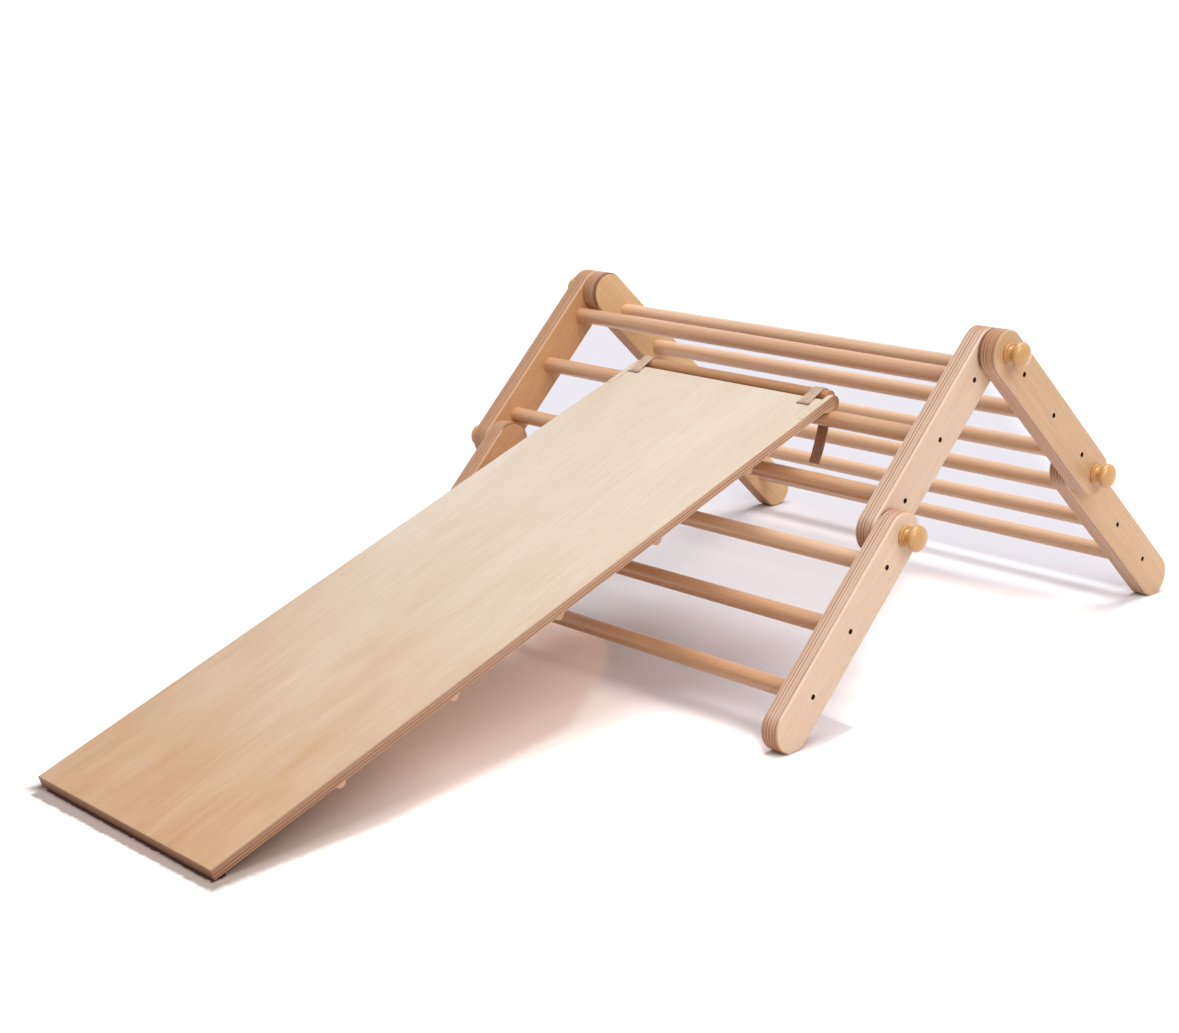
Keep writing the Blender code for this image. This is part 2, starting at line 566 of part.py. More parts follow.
def build():
    clear_scene()
    looks = {
        "birch": wood("birch_plywood", BIRCH, 0.5),
        "beech": wood("beech", BEECH, 0.45),
        "varnished": wood("varnished_beech", VARNISHED, 0.3),
        "bar": wood("bar_beech", BAR_WOOD, 0.45),
        "board": wood("board_plywood", BOARD_WOOD, 0.5),
        "webbing": finish("webbing", WEBBING, 0.85, 0),
        "black": finish("black_steel", BLACK_STEEL, 0.45, 1),
        "zinc": finish("zinc_plated_steel", ZINC, 0.35, 1),
    }
    inner_shift = -FRAME_SHIFT / 2      # the front upper and rear lower frames
    outer_shift = FRAME_SHIFT / 2       # the rear upper and front lower frames
    apex = (0, APEX_Y, APEX_HEIGHT)
    down = (0, 0, -PIVOT_PITCH)

    front_upper = hub("front_upper_hub", None, apex, -SWING)
    rear_upper = hub("rear_upper_hub", None, apex, SWING)
    front_lower = hub("front_lower_hub", front_upper, down, 0)
    rear_lower = hub("rear_lower_hub", rear_upper, down, 0)

    top, bottom = 0, -PIVOT_PITCH
    frame("front_upper", front_upper, inner_shift, -SWING, False,
          [(top, False), (bottom, False)], [(top, True), (bottom, True)], looks)
    frame("rear_upper", rear_upper, outer_shift, SWING, False,
          [(top, True), (bottom, True)], [(top, False), (bottom, False)], looks)
    frame("front_lower", front_lower, outer_shift, -SWING, True, [(top, True)], [(top, False)], looks)
    frame("rear_lower", rear_lower, inner_shift, SWING, True, [(top, False)], [(top, True)], looks)

    top_pivot = (0, 0, 0)
    for joint, side, holder, place in (
            ("apex", 1, front_upper, top_pivot), ("apex", -1, rear_upper, top_pivot),
            ("front", 1, front_upper, down), ("front", -1, front_lower, top_pivot),
            ("rear", 1, rear_lower, top_pivot), ("rear", -1, rear_upper, down)):
        clamp(joint, side, holder, place, looks)

    board_hub = hub("board_hub", front_upper, (0, 0, -BOARD_RUNG_DOWN), SWING + BOARD_SLOPE)
    board_panel(board_hub, looks)
    board_hooks(board_hub, looks)
    board_straps(board_hub, looks)
    board_battens(board_hub, looks)


build()
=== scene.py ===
import json
import math

import bmesh
import bpy
from mathutils import Euler, Matrix, Vector


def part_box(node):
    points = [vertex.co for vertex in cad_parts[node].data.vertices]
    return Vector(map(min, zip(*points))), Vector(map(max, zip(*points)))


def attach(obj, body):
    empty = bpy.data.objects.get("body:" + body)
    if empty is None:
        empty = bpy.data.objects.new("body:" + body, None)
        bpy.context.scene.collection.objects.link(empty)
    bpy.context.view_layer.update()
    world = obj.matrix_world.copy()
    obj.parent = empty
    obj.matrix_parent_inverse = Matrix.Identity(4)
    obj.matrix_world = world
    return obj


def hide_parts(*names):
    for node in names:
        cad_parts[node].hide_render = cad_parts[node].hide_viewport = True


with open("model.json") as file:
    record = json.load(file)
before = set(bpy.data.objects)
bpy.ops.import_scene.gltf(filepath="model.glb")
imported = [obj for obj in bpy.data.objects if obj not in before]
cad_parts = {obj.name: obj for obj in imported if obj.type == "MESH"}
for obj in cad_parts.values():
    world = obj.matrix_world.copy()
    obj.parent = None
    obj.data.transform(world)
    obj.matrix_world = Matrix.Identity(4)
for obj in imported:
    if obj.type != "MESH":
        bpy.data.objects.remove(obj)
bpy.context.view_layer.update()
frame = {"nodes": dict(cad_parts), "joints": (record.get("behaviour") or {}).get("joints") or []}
print("frame loaded")

fullTurn = 2 * math.pi
halfTurn = math.pi
sides = (("near", 1), ("far", -1))


# Places read from the frame

def jointAt(name):
    joint = next(joint for joint in frame["joints"] if joint["name"] == name)
    return Vector(joint["pos_m"])


def boxMiddle(node):
    low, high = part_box(node)
    return (Vector(low) + Vector(high)) / 2


def boxSize(node):
    low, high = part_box(node)
    return Vector(high) - Vector(low)


def endsOf(node):
    low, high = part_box(node)
    return low[0], high[0]


apexAt = jointAt("apex_hinge")
frontMidAt = jointAt("front_leg_hinge")
rearMidAt = jointAt("rear_leg_hinge")
boardAt = jointAt("board_hinge")
pivotPitch = (apexAt - frontMidAt).length
legLean = math.atan2(apexAt.y - frontMidAt.y, apexAt.z - frontMidAt.z)   # of a leg from upright
# each leg's pale numbers are painted light: a share per rung of a paler tone for rungs that look more brightly lit
legs = {
    "front_upper": {"top": apexAt, "lean": -legLean, "foot": False, "seams": (), "pale": (0, 0, 0)},
    "front_lower": {"top": frontMidAt, "lean": -legLean, "foot": True, "seams": ("top",), "pale": (0.9, 0, 0)},
    "rear_upper": {"top": apexAt, "lean": legLean, "foot": False, "seams": ("top", "low"), "pale": (0.8, 0.75, 0.85)},
    "rear_lower": {"top": rearMidAt, "lean": legLean, "foot": True, "seams": (), "pale": (0.6, 0.8, 0.7)},
}
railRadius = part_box("front_upper_rail_near")[1][2] - apexAt.z


# Camera, at the photograph's angle

cameraView = {
    "place": (2.1493, -2.3665, 0.5806),     # from the apex
    "azimuth": math.radians(47.581),
    "elevation": math.radians(15.634),
    "roll": math.radians(-1.551),
    "lens": 63.71, "sensor": 36, "clipEnd": 50,
}


def newObject(name, data):
    thing = bpy.data.objects.new(name, data)
    bpy.context.collection.objects.link(thing)
    return thing


def addCamera():
    data = bpy.data.cameras.new("camera")
    data.lens = cameraView["lens"]
    data.sensor_width = cameraView["sensor"]
    data.clip_end = cameraView["clipEnd"]
    camera = newObject("camera", data)
    aim = Euler((halfTurn / 2 - cameraView["elevation"], 0, cameraView["azimuth"])).to_matrix()
    turn = aim @ Matrix.Rotation(cameraView["roll"], 3, "Z")
    camera.matrix_world = Matrix.Translation(apexAt + Vector(cameraView["place"])) @ turn.to_4x4()
    bpy.context.scene.camera = camera


addCamera()


# Node helpers

def newGroup(name, colours, numbers, **defaults):
    group = bpy.data.node_groups.new(name, "ShaderNodeTree")
    for kind, labels in (("Vector", ("Place",)), ("Color", colours), ("Float", numbers)):
        for label in labels:
            socket = group.interface.new_socket(label, in_out="INPUT", socket_type="NodeSocket" + kind)
            if label in defaults:
                socket.default_value = defaults[label]
    for label, kind in (("Color", "Color"), ("Height", "Float")):
        group.interface.new_socket(label, in_out="OUTPUT", socket_type="NodeSocket" + kind)
    return group, group.nodes.new("NodeGroupInput").outputs, group.nodes.new("NodeGroupOutput").inputs


def addNode(tree, kind, settings=None, **inputs):
    node = tree.nodes.new("ShaderNode" + kind)
    for label, value in (settings or {}).items():
        setattr(node, label, value)
    for label, value in inputs.items():
        socket = node.inputs[int(label[1:])] if label[0] == "i" and label[1:].isdigit() else node.inputs[label]
        if isinstance(value, bpy.types.NodeSocket):
            tree.links.new(value, socket)
        else:
            socket.default_value = value
    return node


def doMath(tree, operation, first, second=0.0, third=0.0):
    return addNode(tree, "Math", {"operation": operation}, i0=first, i1=second, i2=third).outputs[0]


def plus(tree, first, second):
    return doMath(tree, "ADD", first, second)


def minus(tree, first, second):
    return doMath(tree, "SUBTRACT", first, second)


def times(tree, first, second):
    return doMath(tree, "MULTIPLY", first, second)


def fromMiddle(tree, value, amount=1.0):
    off = minus(tree, value, 0.5)
    return off if amount == 1.0 else times(tree, off, amount)


def clamped(tree, value):
    return doMath(tree, "MAXIMUM", doMath(tree, "MINIMUM", value, 1.0), 0.0)


def stretch(tree, vector, scale):
    return addNode(tree, "VectorMath", {"operation": "MULTIPLY"}, i0=vector, i1=scale).outputs[0]


def partsOf(tree, vector):
    return addNode(tree, "SeparateXYZ", None, i0=vector).outputs


def noiseAt(tree, vector, scale, detail=2.0, roughness=0.5, distortion=0.0):
    return addNode(tree, "TexNoise", None, Vector=vector, Scale=scale, Detail=detail,
                   Roughness=roughness, Distortion=distortion).outputs["Fac"]


def grainNoise(tree, place, name):
    scales, *rest = grainNoises[name]
    return noiseAt(tree, stretch(tree, place, scales), 1.0, *rest)


def remap(tree, value, fromLow, fromHigh, toLow=0.0, toHigh=1.0, smooth=False):
    settings = {"interpolation_type": "SMOOTHSTEP"} if smooth else None
    return addNode(tree, "MapRange", settings, i0=value, i1=fromLow, i2=fromHigh, i3=toLow, i4=toHigh).outputs[0]


def blendColours(tree, share, first, second, mode="MIX"):
    return addNode(tree, "Mix", {"data_type": "RGBA", "blend_type": mode}, i0=share, i6=first, i7=second).outputs[2]


def tinted(tree, first, second):
    return blendColours(tree, 1.0, first, second, "MULTIPLY")


# Wood: every wooden piece carries woodPlace, its own place along X = through the plies,
# Y = across the grain, Z = along the grain, in metres

grainNoises = {             # scales through the plies, across the grain and along it; detail, roughness, distortion
    "veneerStreaks": ((260, 260, 9), 4.0, 0.6),
    "veneerClouds": ((14, 14, 3.2), 3.0, 0.55, 0.4),
    "veneerFlecks": ((1300, 1300, 130), 1.0, 0.5),
    "veneerSwirl": ((9, 9, 1.6), 2.0, 0.5, 0.6),
    "plyWaver": ((0, 30, 9), 2.0),
    "plyFibres": ((900, 70, 10), 3.0, 0.6),
    "plyPatches": ((160, 18, 4), 2.0, 0.5),
    "plyPores": ((1500, 1500, 1500), 2.0, 0.7),
    "ringBend": ((35, 35, 4), 2.0, 0.5),
    "turnedStreaks": ((420, 420, 11), 3.0, 0.6),
    "turnedFlecks": ((1500, 1500, 240), 1.0),
    "turnedMood": ((0, 0, 1.9),),
    "metalFine": ((900, 900, 900), 3.0, 0.6),
    "metalBroad": ((120, 120, 120), 2.0, 0.5),
    "webFuzz": ((2600, 2600, 2600), 2.0, 0.6),
    "webWear": ((90, 90, 40), 2.0, 0.5),
    "webBlotches": ((260, 260, 110), 2.0, 0.6),
}


figureLook = {              # pairs: the noise's range that is spread over 0 to 1
    "streaks": (0.35, 0.7), "clouds": (0.35, 0.68), "flecks": (0.63, 0.72), "ringCount": 16.0, "streakHeight": 0.6,
    "paintedShadeClouds": (0.25, 0.7, 0.62, 1.0),
}


def buildFigure():
    look = figureLook
    group, ins, outs = newGroup("veneerFigure", ("Light", "Dark", "DriftColour"),
                                ("Streaks", "Clouds", "Flecks", "Figure", "DriftFrom", "DriftTo"),
                                Streaks=0.35, Clouds=0.3, Flecks=0.3, Figure=0.16,
                                DriftFrom=-50.0, DriftTo=-60.0, DriftColour=(1, 1, 1, 1))
    place = ins["Place"]
    streaks = grainNoise(group, place, "veneerStreaks")
    clouds = grainNoise(group, place, "veneerClouds")
    flecks = grainNoise(group, place, "veneerFlecks")
    swirl = grainNoise(group, place, "veneerSwirl")
    rings = doMath(group, "FRACT", times(group, swirl, look["ringCount"]))
    ringLine = remap(group, doMath(group, "ABSOLUTE", fromMiddle(group, rings)), 0.0, 0.5, 0.0, 1.0, True)
    streakShare = times(group, remap(group, streaks, *look["streaks"]), ins["Streaks"])
    cloudShare = times(group, remap(group, clouds, *look["clouds"]), ins["Clouds"])
    figureShare = times(group, ringLine, ins["Figure"])
    share = plus(group, plus(group, streakShare, cloudShare), figureShare)
    base = blendColours(group, doMath(group, "MINIMUM", share, 1.0), ins["Light"], ins["Dark"])
    fleckShare = times(group, remap(group, flecks, *look["flecks"]), ins["Flecks"])
    darker = tinted(group, base, ins["Dark"])
    # painted shade: towards the board's low end the colour turns darker and warmer in blotches, standing in for the
    # light falling off down the board
    along = partsOf(group, place)["Z"]
    paintedShade = times(group, remap(group, along, ins["DriftFrom"], ins["DriftTo"], 0.0, 1.0, True),
                  remap(group, clouds, *look["paintedShadeClouds"]))
    flecked = blendColours(group, fleckShare, base, darker)
    warm = blendColours(group, paintedShade, (1, 1, 1, 1), ins["DriftColour"])
    group.links.new(tinted(group, flecked, warm), outs["Color"])
    height = minus(group, times(group, streaks, look["streakHeight"]), fleckShare)
    group.links.new(height, outs["Height"])
    return group


plyLook = {                 # widths as shares of a ply, depths in metres
    "waver": 0.0011, "seed": 3.0, "paleWidth": 0.32, "paleReach": (0.35, 0.7), "soft": 0.03, "deep": (0.55, 0.95),
    "fibres": 0.75, "patches": 0.7, "glueLine": (0.045, 0.01), "glueShare": 0.5, "skin": (0.0019, 0.0013),
    "seam": (0.0072, 0.002), "contactShadeColour": (0.26, 0.15, 0.09, 1), "poreHeight": 0.4,
}


def buildPlies():
    look = plyLook
    group, ins, outs = newGroup("plyEdges", ("Pale", "Deep", "Skin", "Glue", "EndColour"),
                                ("Band", "Half", "EndShare", "SeamSide"))
    place = ins["Place"]
    parts = partsOf(group, place)
    waver = grainNoise(group, place, "plyWaver")
    shifted = plus(group, parts["X"], fromMiddle(group, waver, look["waver"]))
    layer = doMath(group, "DIVIDE", shifted, ins["Band"])
    index = doMath(group, "ROUND", layer)
    offCentre = doMath(group, "ABSOLUTE", minus(group, layer, index))     # 0 in a ply's middle, 0.5 at its rim
    seed = plus(group, index, look["seed"])
    tone = addNode(group, "TexWhiteNoise", {"noise_dimensions": "1D"}, W=seed).outputs["Value"]
    reach = times(group, look["paleWidth"], remap(group, tone, 0.0, 1.0, *look["paleReach"]))
    rim = minus(group, 0.5, reach)
    past = minus(group, offCentre, rim)
    paleShare = remap(group, past, -look["soft"], look["soft"], 0.0, 1.0, True)
    along = grainNoise(group, place, "plyFibres")
    broad = grainNoise(group, place, "plyPatches")
    pores = grainNoise(group, place, "plyPores")
    deepShare = times(group, minus(group, 1.0, paleShare), remap(group, tone, 0.0, 1.0, *look["deep"]))
    deepShare = plus(group, deepShare, fromMiddle(group, along, look["fibres"]))
    deepShare = plus(group, deepShare, fromMiddle(group, broad, look["patches"]))
    share = clamped(group, deepShare)
    base = blendColours(group, share, ins["Pale"], ins["Deep"])
    line = remap(group, doMath(group, "ABSOLUTE", past), *look["glueLine"])
    glued = blendColours(group, times(group, line, look["glueShare"]), base, ins["Glue"])
    depth = minus(group, ins["Half"], doMath(group, "ABSOLUTE", parts["X"]))
    skinned = blendColours(group, remap(group, depth, *look["skin"]), glued, ins["Skin"])
    # ply edges darker where EndShare is high: at the rail and board ends and the hooks' noses, and all along the far
    # rails as painted shade
    retoned = blendColours(group, ins["EndShare"], (1, 1, 1, 1), ins["EndColour"])
    side = ins["SeamSide"]                        # its sign tells which side lies on another rail
    # painted shade: a dark line along the inner rim where this rail lies on another, standing in for the shadow in
    # that crease
    inward = plus(group, ins["Half"], times(group, parts["X"], doMath(group, "SIGN", side)))
    near = remap(group, inward, *look["seam"], 0.0, 1.0, True)
    contactShaded = blendColours(group, times(group, near, doMath(group, "ABSOLUTE", side)), retoned, look["contactShadeColour"])
    group.links.new(tinted(group, skinned, contactShaded), outs["Color"])
    group.links.new(minus(group, times(group, pores, look["poreHeight"]), line), outs["Height"])
    return group


turnedLook = {
    "bend": 0.018, "centre": 0.045,         # the rings' centre lies outside the piece
    "late": (0.2, 0.95), "streakFrom": 0.42, "streakShare": 0.7, "flecks": (0.62, 0.7), "mood": (0.3, 0.7, 0.0, 0.3),
    "streakHeight": 0.5,
}


def buildTurned():
    look = turnedLook
    group, ins, outs = newGroup("turnedGrain", ("Light", "Dark", "PaleColour"),
                                ("RingSpacing", "RingShare", "Flecks", "PaleShare"),
                                RingShare=0.4, Flecks=0.4, PaleColour=(1, 1, 1, 1))
    place = ins["Place"]
    bend = grainNoise(group, place, "ringBend")
    parts = partsOf(group, place)
    across = plus(group, parts["X"], fromMiddle(group, bend, look["bend"]))
    depth = plus(group, parts["Y"], look["centre"])
    squares = plus(group, doMath(group, "POWER", across, 2.0), doMath(group, "POWER", depth, 2.0))
    reach = doMath(group, "SQRT", squares)
    ring = doMath(group, "FRACT", doMath(group, "DIVIDE", reach, ins["RingSpacing"]))
    late = remap(group, ring, *look["late"], 0.0, 1.0, True)
    streaks = grainNoise(group, place, "turnedStreaks")
    flecks = grainNoise(group, place, "turnedFlecks")
    streakShare = times(group, minus(group, streaks, look["streakFrom"]), look["streakShare"])
    share = clamped(group, plus(group, times(group, late, ins["RingShare"]), streakShare))
    base = blendColours(group, share, ins["Light"], ins["Dark"])
    fleckShare = times(group, remap(group, flecks, *look["flecks"]), ins["Flecks"])
    darker = tinted(group, base, ins["Dark"])
    mood = remap(group, grainNoise(group, place, "turnedMood"), *look["mood"])
    flecked = blendColours(group, fleckShare, base, darker)
    moody = blendColours(group, mood, flecked, ins["Dark"])
    # painted light: a rung with a pale share is paled towards a brightly lit look
    paled = tinted(group, moody, ins["PaleColour"])
    group.links.new(blendColours(group, ins["PaleShare"], moody, paled), outs["Color"])
    group.links.new(minus(group, times(group, streaks, look["streakHeight"]), fleckShare), outs["Height"])
    return group


def startMaterial(name, roughness, coat=0.0, coatRoughness=0.3, metallic=0.0):
    material = bpy.data.materials.new(name)
    material.use_nodes = True
    tree = material.node_tree
    shader = tree.nodes["Principled BSDF"]
    shader.inputs["Roughness"].default_value = roughness
    shader.inputs["Metallic"].default_value = metallic
    shader.inputs["Coat Weight"].default_value = coat
    shader.inputs["Coat Roughness"].default_value = coatRoughness
    return material, tree, shader


def attribute(tree, name="woodPlace", output="Vector"):
    return addNode(tree, "Attribute", {"attribute_name": name}).outputs[output]


def bump(tree, shader, height, strength, distance):
    node = addNode(tree, "Bump", None, Strength=strength, Distance=distance, Height=height)
    tree.links.new(node.outputs["Normal"], shader.inputs["Normal"])


woodLooks = {
    "frontFace": {"Light": (0.82, 0.645, 0.505, 1), "Dark": (0.67, 0.465, 0.325, 1), "Streaks": 0.3},
    "rearFace": {"Light": (0.735, 0.5, 0.305, 1), "Dark": (0.58, 0.355, 0.185, 1),
                 "Clouds": 0.35, "Flecks": 0.35, "Figure": 0.18},
    "boardUnder": {"Light": (0.62, 0.38, 0.2, 1), "Dark": (0.48, 0.27, 0.13, 1),
                   "Streaks": 0.4, "Clouds": 0.4, "Figure": 0.15},
    # the board face's last three settings paint shade on its low end: darker and warmer towards it
    "boardFace": {"Light": (0.725, 0.635, 0.54, 1), "Dark": (0.63, 0.49, 0.365, 1),
                  "Streaks": 0.5, "Clouds": 0.45, "Flecks": 0.35,
                  "DriftFrom": -0.3, "DriftTo": -1.2, "DriftColour": (0.75, 0.51, 0.29, 1)},
    # the two inner looks are darker copies of the faces: painted shade on the rails' inner faces
    "frontInnerShade": {"Light": (0.64, 0.36, 0.18, 1), "Dark": (0.48, 0.24, 0.105, 1)},
    "rearInnerShade": {"Light": (0.81, 0.545, 0.305, 1), "Dark": (0.6, 0.345, 0.165, 1)},
    "railPlies": {"Pale": (0.84, 0.63, 0.5, 1), "Deep": (0.47, 0.27, 0.17, 1), "Glue": (0.3, 0.15, 0.09, 1),
                  "Skin": (0.82, 0.62, 0.455, 1), "EndColour": (0.7, 0.52, 0.37, 1), "Band": 0.005, "Half": 0.015},
    "boardPlies": {"Pale": (0.8, 0.58, 0.44, 1), "Deep": (0.44, 0.235, 0.135, 1), "Glue": (0.26, 0.13, 0.075, 1),
                   "Skin": (0.74, 0.58, 0.45, 1), "EndColour": (0.52, 0.4, 0.32, 1), "Band": 0.0042, "Half": 0.0075},
    "rungWood": {"Light": (0.7, 0.415, 0.245, 1), "Dark": (0.53, 0.27, 0.14, 1), "PaleColour": (1.22, 1.46, 1.7, 1),
                 "RingSpacing": 0.0034, "RingShare": 0.35},
    "barWood": {"Light": (0.52, 0.26, 0.115, 1), "Dark": (0.34, 0.15, 0.055, 1), "RingSpacing": 0.003},
    "knobWood": {"Light": (0.7, 0.41, 0.145, 1), "Dark": (0.52, 0.245, 0.07, 1),
                 "RingSpacing": 0.003, "RingShare": 0.5, "Flecks": 0.3},
    # the recess look is near-black: painted shade on the walls of the screw recesses and strap slots
    "recessShade": {"Light": (0.075, 0.038, 0.02, 1), "Dark": (0.03, 0.015, 0.008, 1),
                   "RingSpacing": 0.002, "Flecks": 0.3},
}
woodLooks["hookPlies"] = {**woodLooks["boardPlies"], "Half": 0.05}      # its skins lie past its rims
veneer = {"group": buildFigure(), "carried": (), "relief": 0.12, "depth": 0.0003}
plies = {"group": buildPlies(), "carried": ("EndShare", "SeamSide"), "relief": 0.25, "depth": 0.0002}
turned = {"group": buildTurned(), "carried": ("PaleShare",), "relief": 0.1, "depth": 0.0002}


def woodMaterial(name, kind, roughness, coat=0.0, coatRoughness=0.35):
    material, tree, shader = startMaterial(name, roughness, coat, coatRoughness)
    carried = {label: attribute(tree, label, "Fac") for label in kind["carried"]}
    grain = addNode(tree, "Group", {"node_tree": kind["group"]}, Place=attribute(tree), **carried, **woodLooks[name])
    tree.links.new(grain.outputs["Color"], shader.inputs["Base Color"])
    bump(tree, shader, grain.outputs["Height"], kind["relief"], kind["depth"])
    return material


frontFace = woodMaterial("frontFace", veneer, roughness=0.45, coat=0.12)
rearFace = woodMaterial("rearFace", veneer, roughness=0.45, coat=0.12)
boardUnder = woodMaterial("boardUnder", veneer, roughness=0.6)
boardFace = woodMaterial("boardFace", veneer, roughness=0.42, coat=0.15)
frontInnerShade = woodMaterial("frontInnerShade", veneer, roughness=0.5, coat=0.08)
rearInnerShade = woodMaterial("rearInnerShade", veneer, roughness=0.5, coat=0.08)
railPlies, boardPlies, hookPlies = (
    woodMaterial(name, plies, roughness=0.6, coat=0.05, coatRoughness=0.45)
    for name in ("railPlies", "boardPlies", "hookPlies"))
rungWood = woodMaterial("rungWood", turned, roughness=0.36, coat=0.45, coatRoughness=0.26)
barWood = woodMaterial("barWood", turned, roughness=0.4, coat=0.2, coatRoughness=0.3)
knobWood = woodMaterial("knobWood", turned, roughness=0.34, coat=0.5, coatRoughness=0.16)
recessShade = woodMaterial("recessShade", turned, roughness=0.8)


def metalMaterial(name, colour, roughness, scratch):
    material, tree, shader = startMaterial(name, roughness, 0.0, 0.3, 1.0)
    place = addNode(tree, "TexCoord").outputs["Object"]
    fine = grainNoise(tree, place, "metalFine")
    broad = grainNoise(tree, place, "metalBroad")
    dull = tuple(part * 0.7 for part in colour[:3]) + (1,)
    tree.links.new(blendColours(tree, remap(tree, broad, 0.35, 0.7), colour, dull), shader.inputs["Base Color"])
    tree.links.new(remap(tree, fine, 0.3, 0.7, roughness - 0.08, roughness + 0.12), shader.inputs["Roughness"])
    bump(tree, shader, fine, scratch, 0.0001)
    return material


zincSteel = metalMaterial("zincSteel", (0.55, 0.54, 0.5, 1), 0.35, 0.15)
blackSteel = metalMaterial("blackSteel", (0.045, 0.042, 0.04, 1), 0.42, 0.15)


webLook = {
    "pitch": 0.0016, "low": (0.27, 0.165, 0.1, 1), "high": (0.76, 0.57, 0.43, 1), "retoned": (0.84, 0.67, 0.53, 1),
    "tailShadeLow": (0.2, 0.085, 0.045, 1), "tailShadeHigh": (0.36, 0.17, 0.09, 1), "tailFrom": 0.075, "tailTo": 0.095,
    "tailShadeShare": 0.8,
}


def webbingMaterial():
    look = webLook
    material, tree, shader = startMaterial("webbing", 0.85)
    shader.inputs["Sheen Weight"].default_value = 0.25
    place = attribute(tree)                                           # X across, Y through, Z along the strap
    parts = partsOf(tree, place)
    across = times(tree, parts["X"], fullTurn / look["pitch"])
    along = times(tree, parts["Z"], fullTurn / look["pitch"])
    phase = times(tree, doMath(tree, "ROUND", doMath(tree, "DIVIDE", across, fullTurn)), halfTurn)
    ribs = doMath(tree, "ABSOLUTE", doMath(tree, "COSINE", times(tree, across, 0.5)))
    picks = doMath(tree, "SINE", plus(tree, along, phase))
    weave = times(tree, ribs, remap(tree, picks, -1.0, 1.0, 0.35, 1.0))
    fuzz = grainNoise(tree, place, "webFuzz")
    broad = grainNoise(tree, place, "webWear")
    shade = plus(tree, times(tree, weave, 0.7), times(tree, fuzz, 0.3))
    base = blendColours(tree, shade, look["low"], look["high"])
    retoned = blendColours(tree, remap(tree, broad, 0.4, 0.75, 0.0, 0.5), base, look["retoned"])
    # painted shade: the tail that hangs below the board turns dark brown in blotches
    blotches = grainNoise(tree, place, "webBlotches")
    deep = blendColours(tree, remap(tree, blotches, 0.35, 0.65), look["tailShadeLow"], look["tailShadeHigh"])
    tail = remap(tree, parts["Z"], look["tailFrom"], look["tailTo"], 0.0, look["tailShadeShare"], True)
    tree.links.new(blendColours(tree, tail, retoned, deep), shader.inputs["Base Color"])
    bump(tree, shader, weave, 0.6, 0.0004)
    return material


webbing = webbingMaterial()
print("materials built")


# Finishing a piece: its own place on the wood, its material, its body.
# A grain's rows are the piece's own directions through the plies, across the grain and along it.

grainX = ((0, 1, 0), (0, 0, 1), (1, 0, 0))              # named after the direction that the grain follows
grainY = ((0, 0, 1), (1, 0, 0), (0, 1, 0))
grainZ = ((1, 0, 0), (0, 1, 0), (0, 0, 1))
sharpFrom = math.radians(35)


def finishPiece(node, bm, materials, body, grain, move, bend=None, shares=None, added=False):
    piece = meshObject(node if added else "fine_" + node, bm)
    mesh = piece.data
    for material in materials:
        mesh.materials.append(material)
    turn, offset = Matrix(grain[0]), Vector(grain[1])
    mesh.attributes.new("woodPlace", "FLOAT_VECTOR", "POINT").data.foreach_set(
        "vector", [part for vert in mesh.vertices for part in turn @ vert.co + offset])
    for label, share in (shares or {}).items():
        mesh.attributes.new(label, "FLOAT", "POINT").data.foreach_set(
            "value", [share(vert.co) for vert in mesh.vertices])
    if bend:
        for vert in mesh.vertices:
            vert.co = bend(vert.co)
    mesh.transform(move)
    mesh.shade_smooth()
    mesh.set_sharp_from_angle(angle=sharpFrom)
    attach(piece, body)
    if not added:
        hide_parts(node)


def cutAway(bm, cutter):
    target = meshObject("target", bm)
    tool = meshObject("tool", cutter)
    cut = target.modifiers.new("cut", "BOOLEAN")
    cut.operation = "DIFFERENCE"
    cut.solver = "EXACT"
    cut.object = tool
    evaluated = target.evaluated_get(bpy.context.evaluated_depsgraph_get())
    result = bmesh.new()
    result.from_mesh(bpy.data.meshes.new_from_object(evaluated))
    bpy.data.objects.remove(target, do_unlink=True)
    bpy.data.objects.remove(tool, do_unlink=True)
    return result


def meshObject(name, bm):
    mesh = bpy.data.meshes.new(name)
    bm.to_mesh(mesh)
    bm.free()
    return newObject(name, mesh)


def extrudeBy(bm, faces, way):
    made = bmesh.ops.extrude_face_region(bm, geom=faces)["geom"]
    bmesh.ops.translate(bm, verts=[item for item in made if isinstance(item, bmesh.types.BMVert)], vec=way)
    bmesh.ops.recalc_face_normals(bm, faces=bm.faces)


def extrudeOutline(bm, width):
    extrudeBy(bm, bmesh.ops.contextual_create(bm, geom=list(bm.edges))["faces"], (width, 0, 0))


def outwardTurn(sign):
    return Matrix.Identity(4) if sign > 0 else Matrix.Rotation(halfTurn, 4, "Z")


def sweepVertex(bm, vert, centre, angle, steps):
    made = bmesh.ops.spin(bm, geom=[vert], cent=centre, axis=(1, 0, 0), angle=angle, steps=steps, use_merge=False)
    return next(item for item in made["geom_last"] if isinstance(item, bmesh.types.BMVert))


def spinProfile(bm, points, steps):
    verts = [bm.verts.new((along, 0, radius)) for along, radius in points]
    edges = [bm.edges.new(pair) for pair in zip(verts, verts[1:])]
    bmesh.ops.spin(bm, geom=verts + edges, cent=(0, 0, 0), axis=(1, 0, 0), angle=fullTurn,
                   steps=steps, use_merge=True)
    bmesh.ops.remove_doubles(bm, verts=bm.verts, dist=1e-6)
    bmesh.ops.recalc_face_normals(bm, faces=bm.faces)


def addCylinderX(bm, centre, radius, depth, segments):
    made = bmesh.ops.create_cone(bm, cap_ends=True, segments=segments, radius1=radius, radius2=radius, depth=depth)
    bmesh.ops.rotate(bm, verts=made["verts"], cent=(0, 0, 0), matrix=Matrix.Rotation(halfTurn / 2, 3, "Y"))
    bmesh.ops.translate(bm, verts=made["verts"], vec=centre)


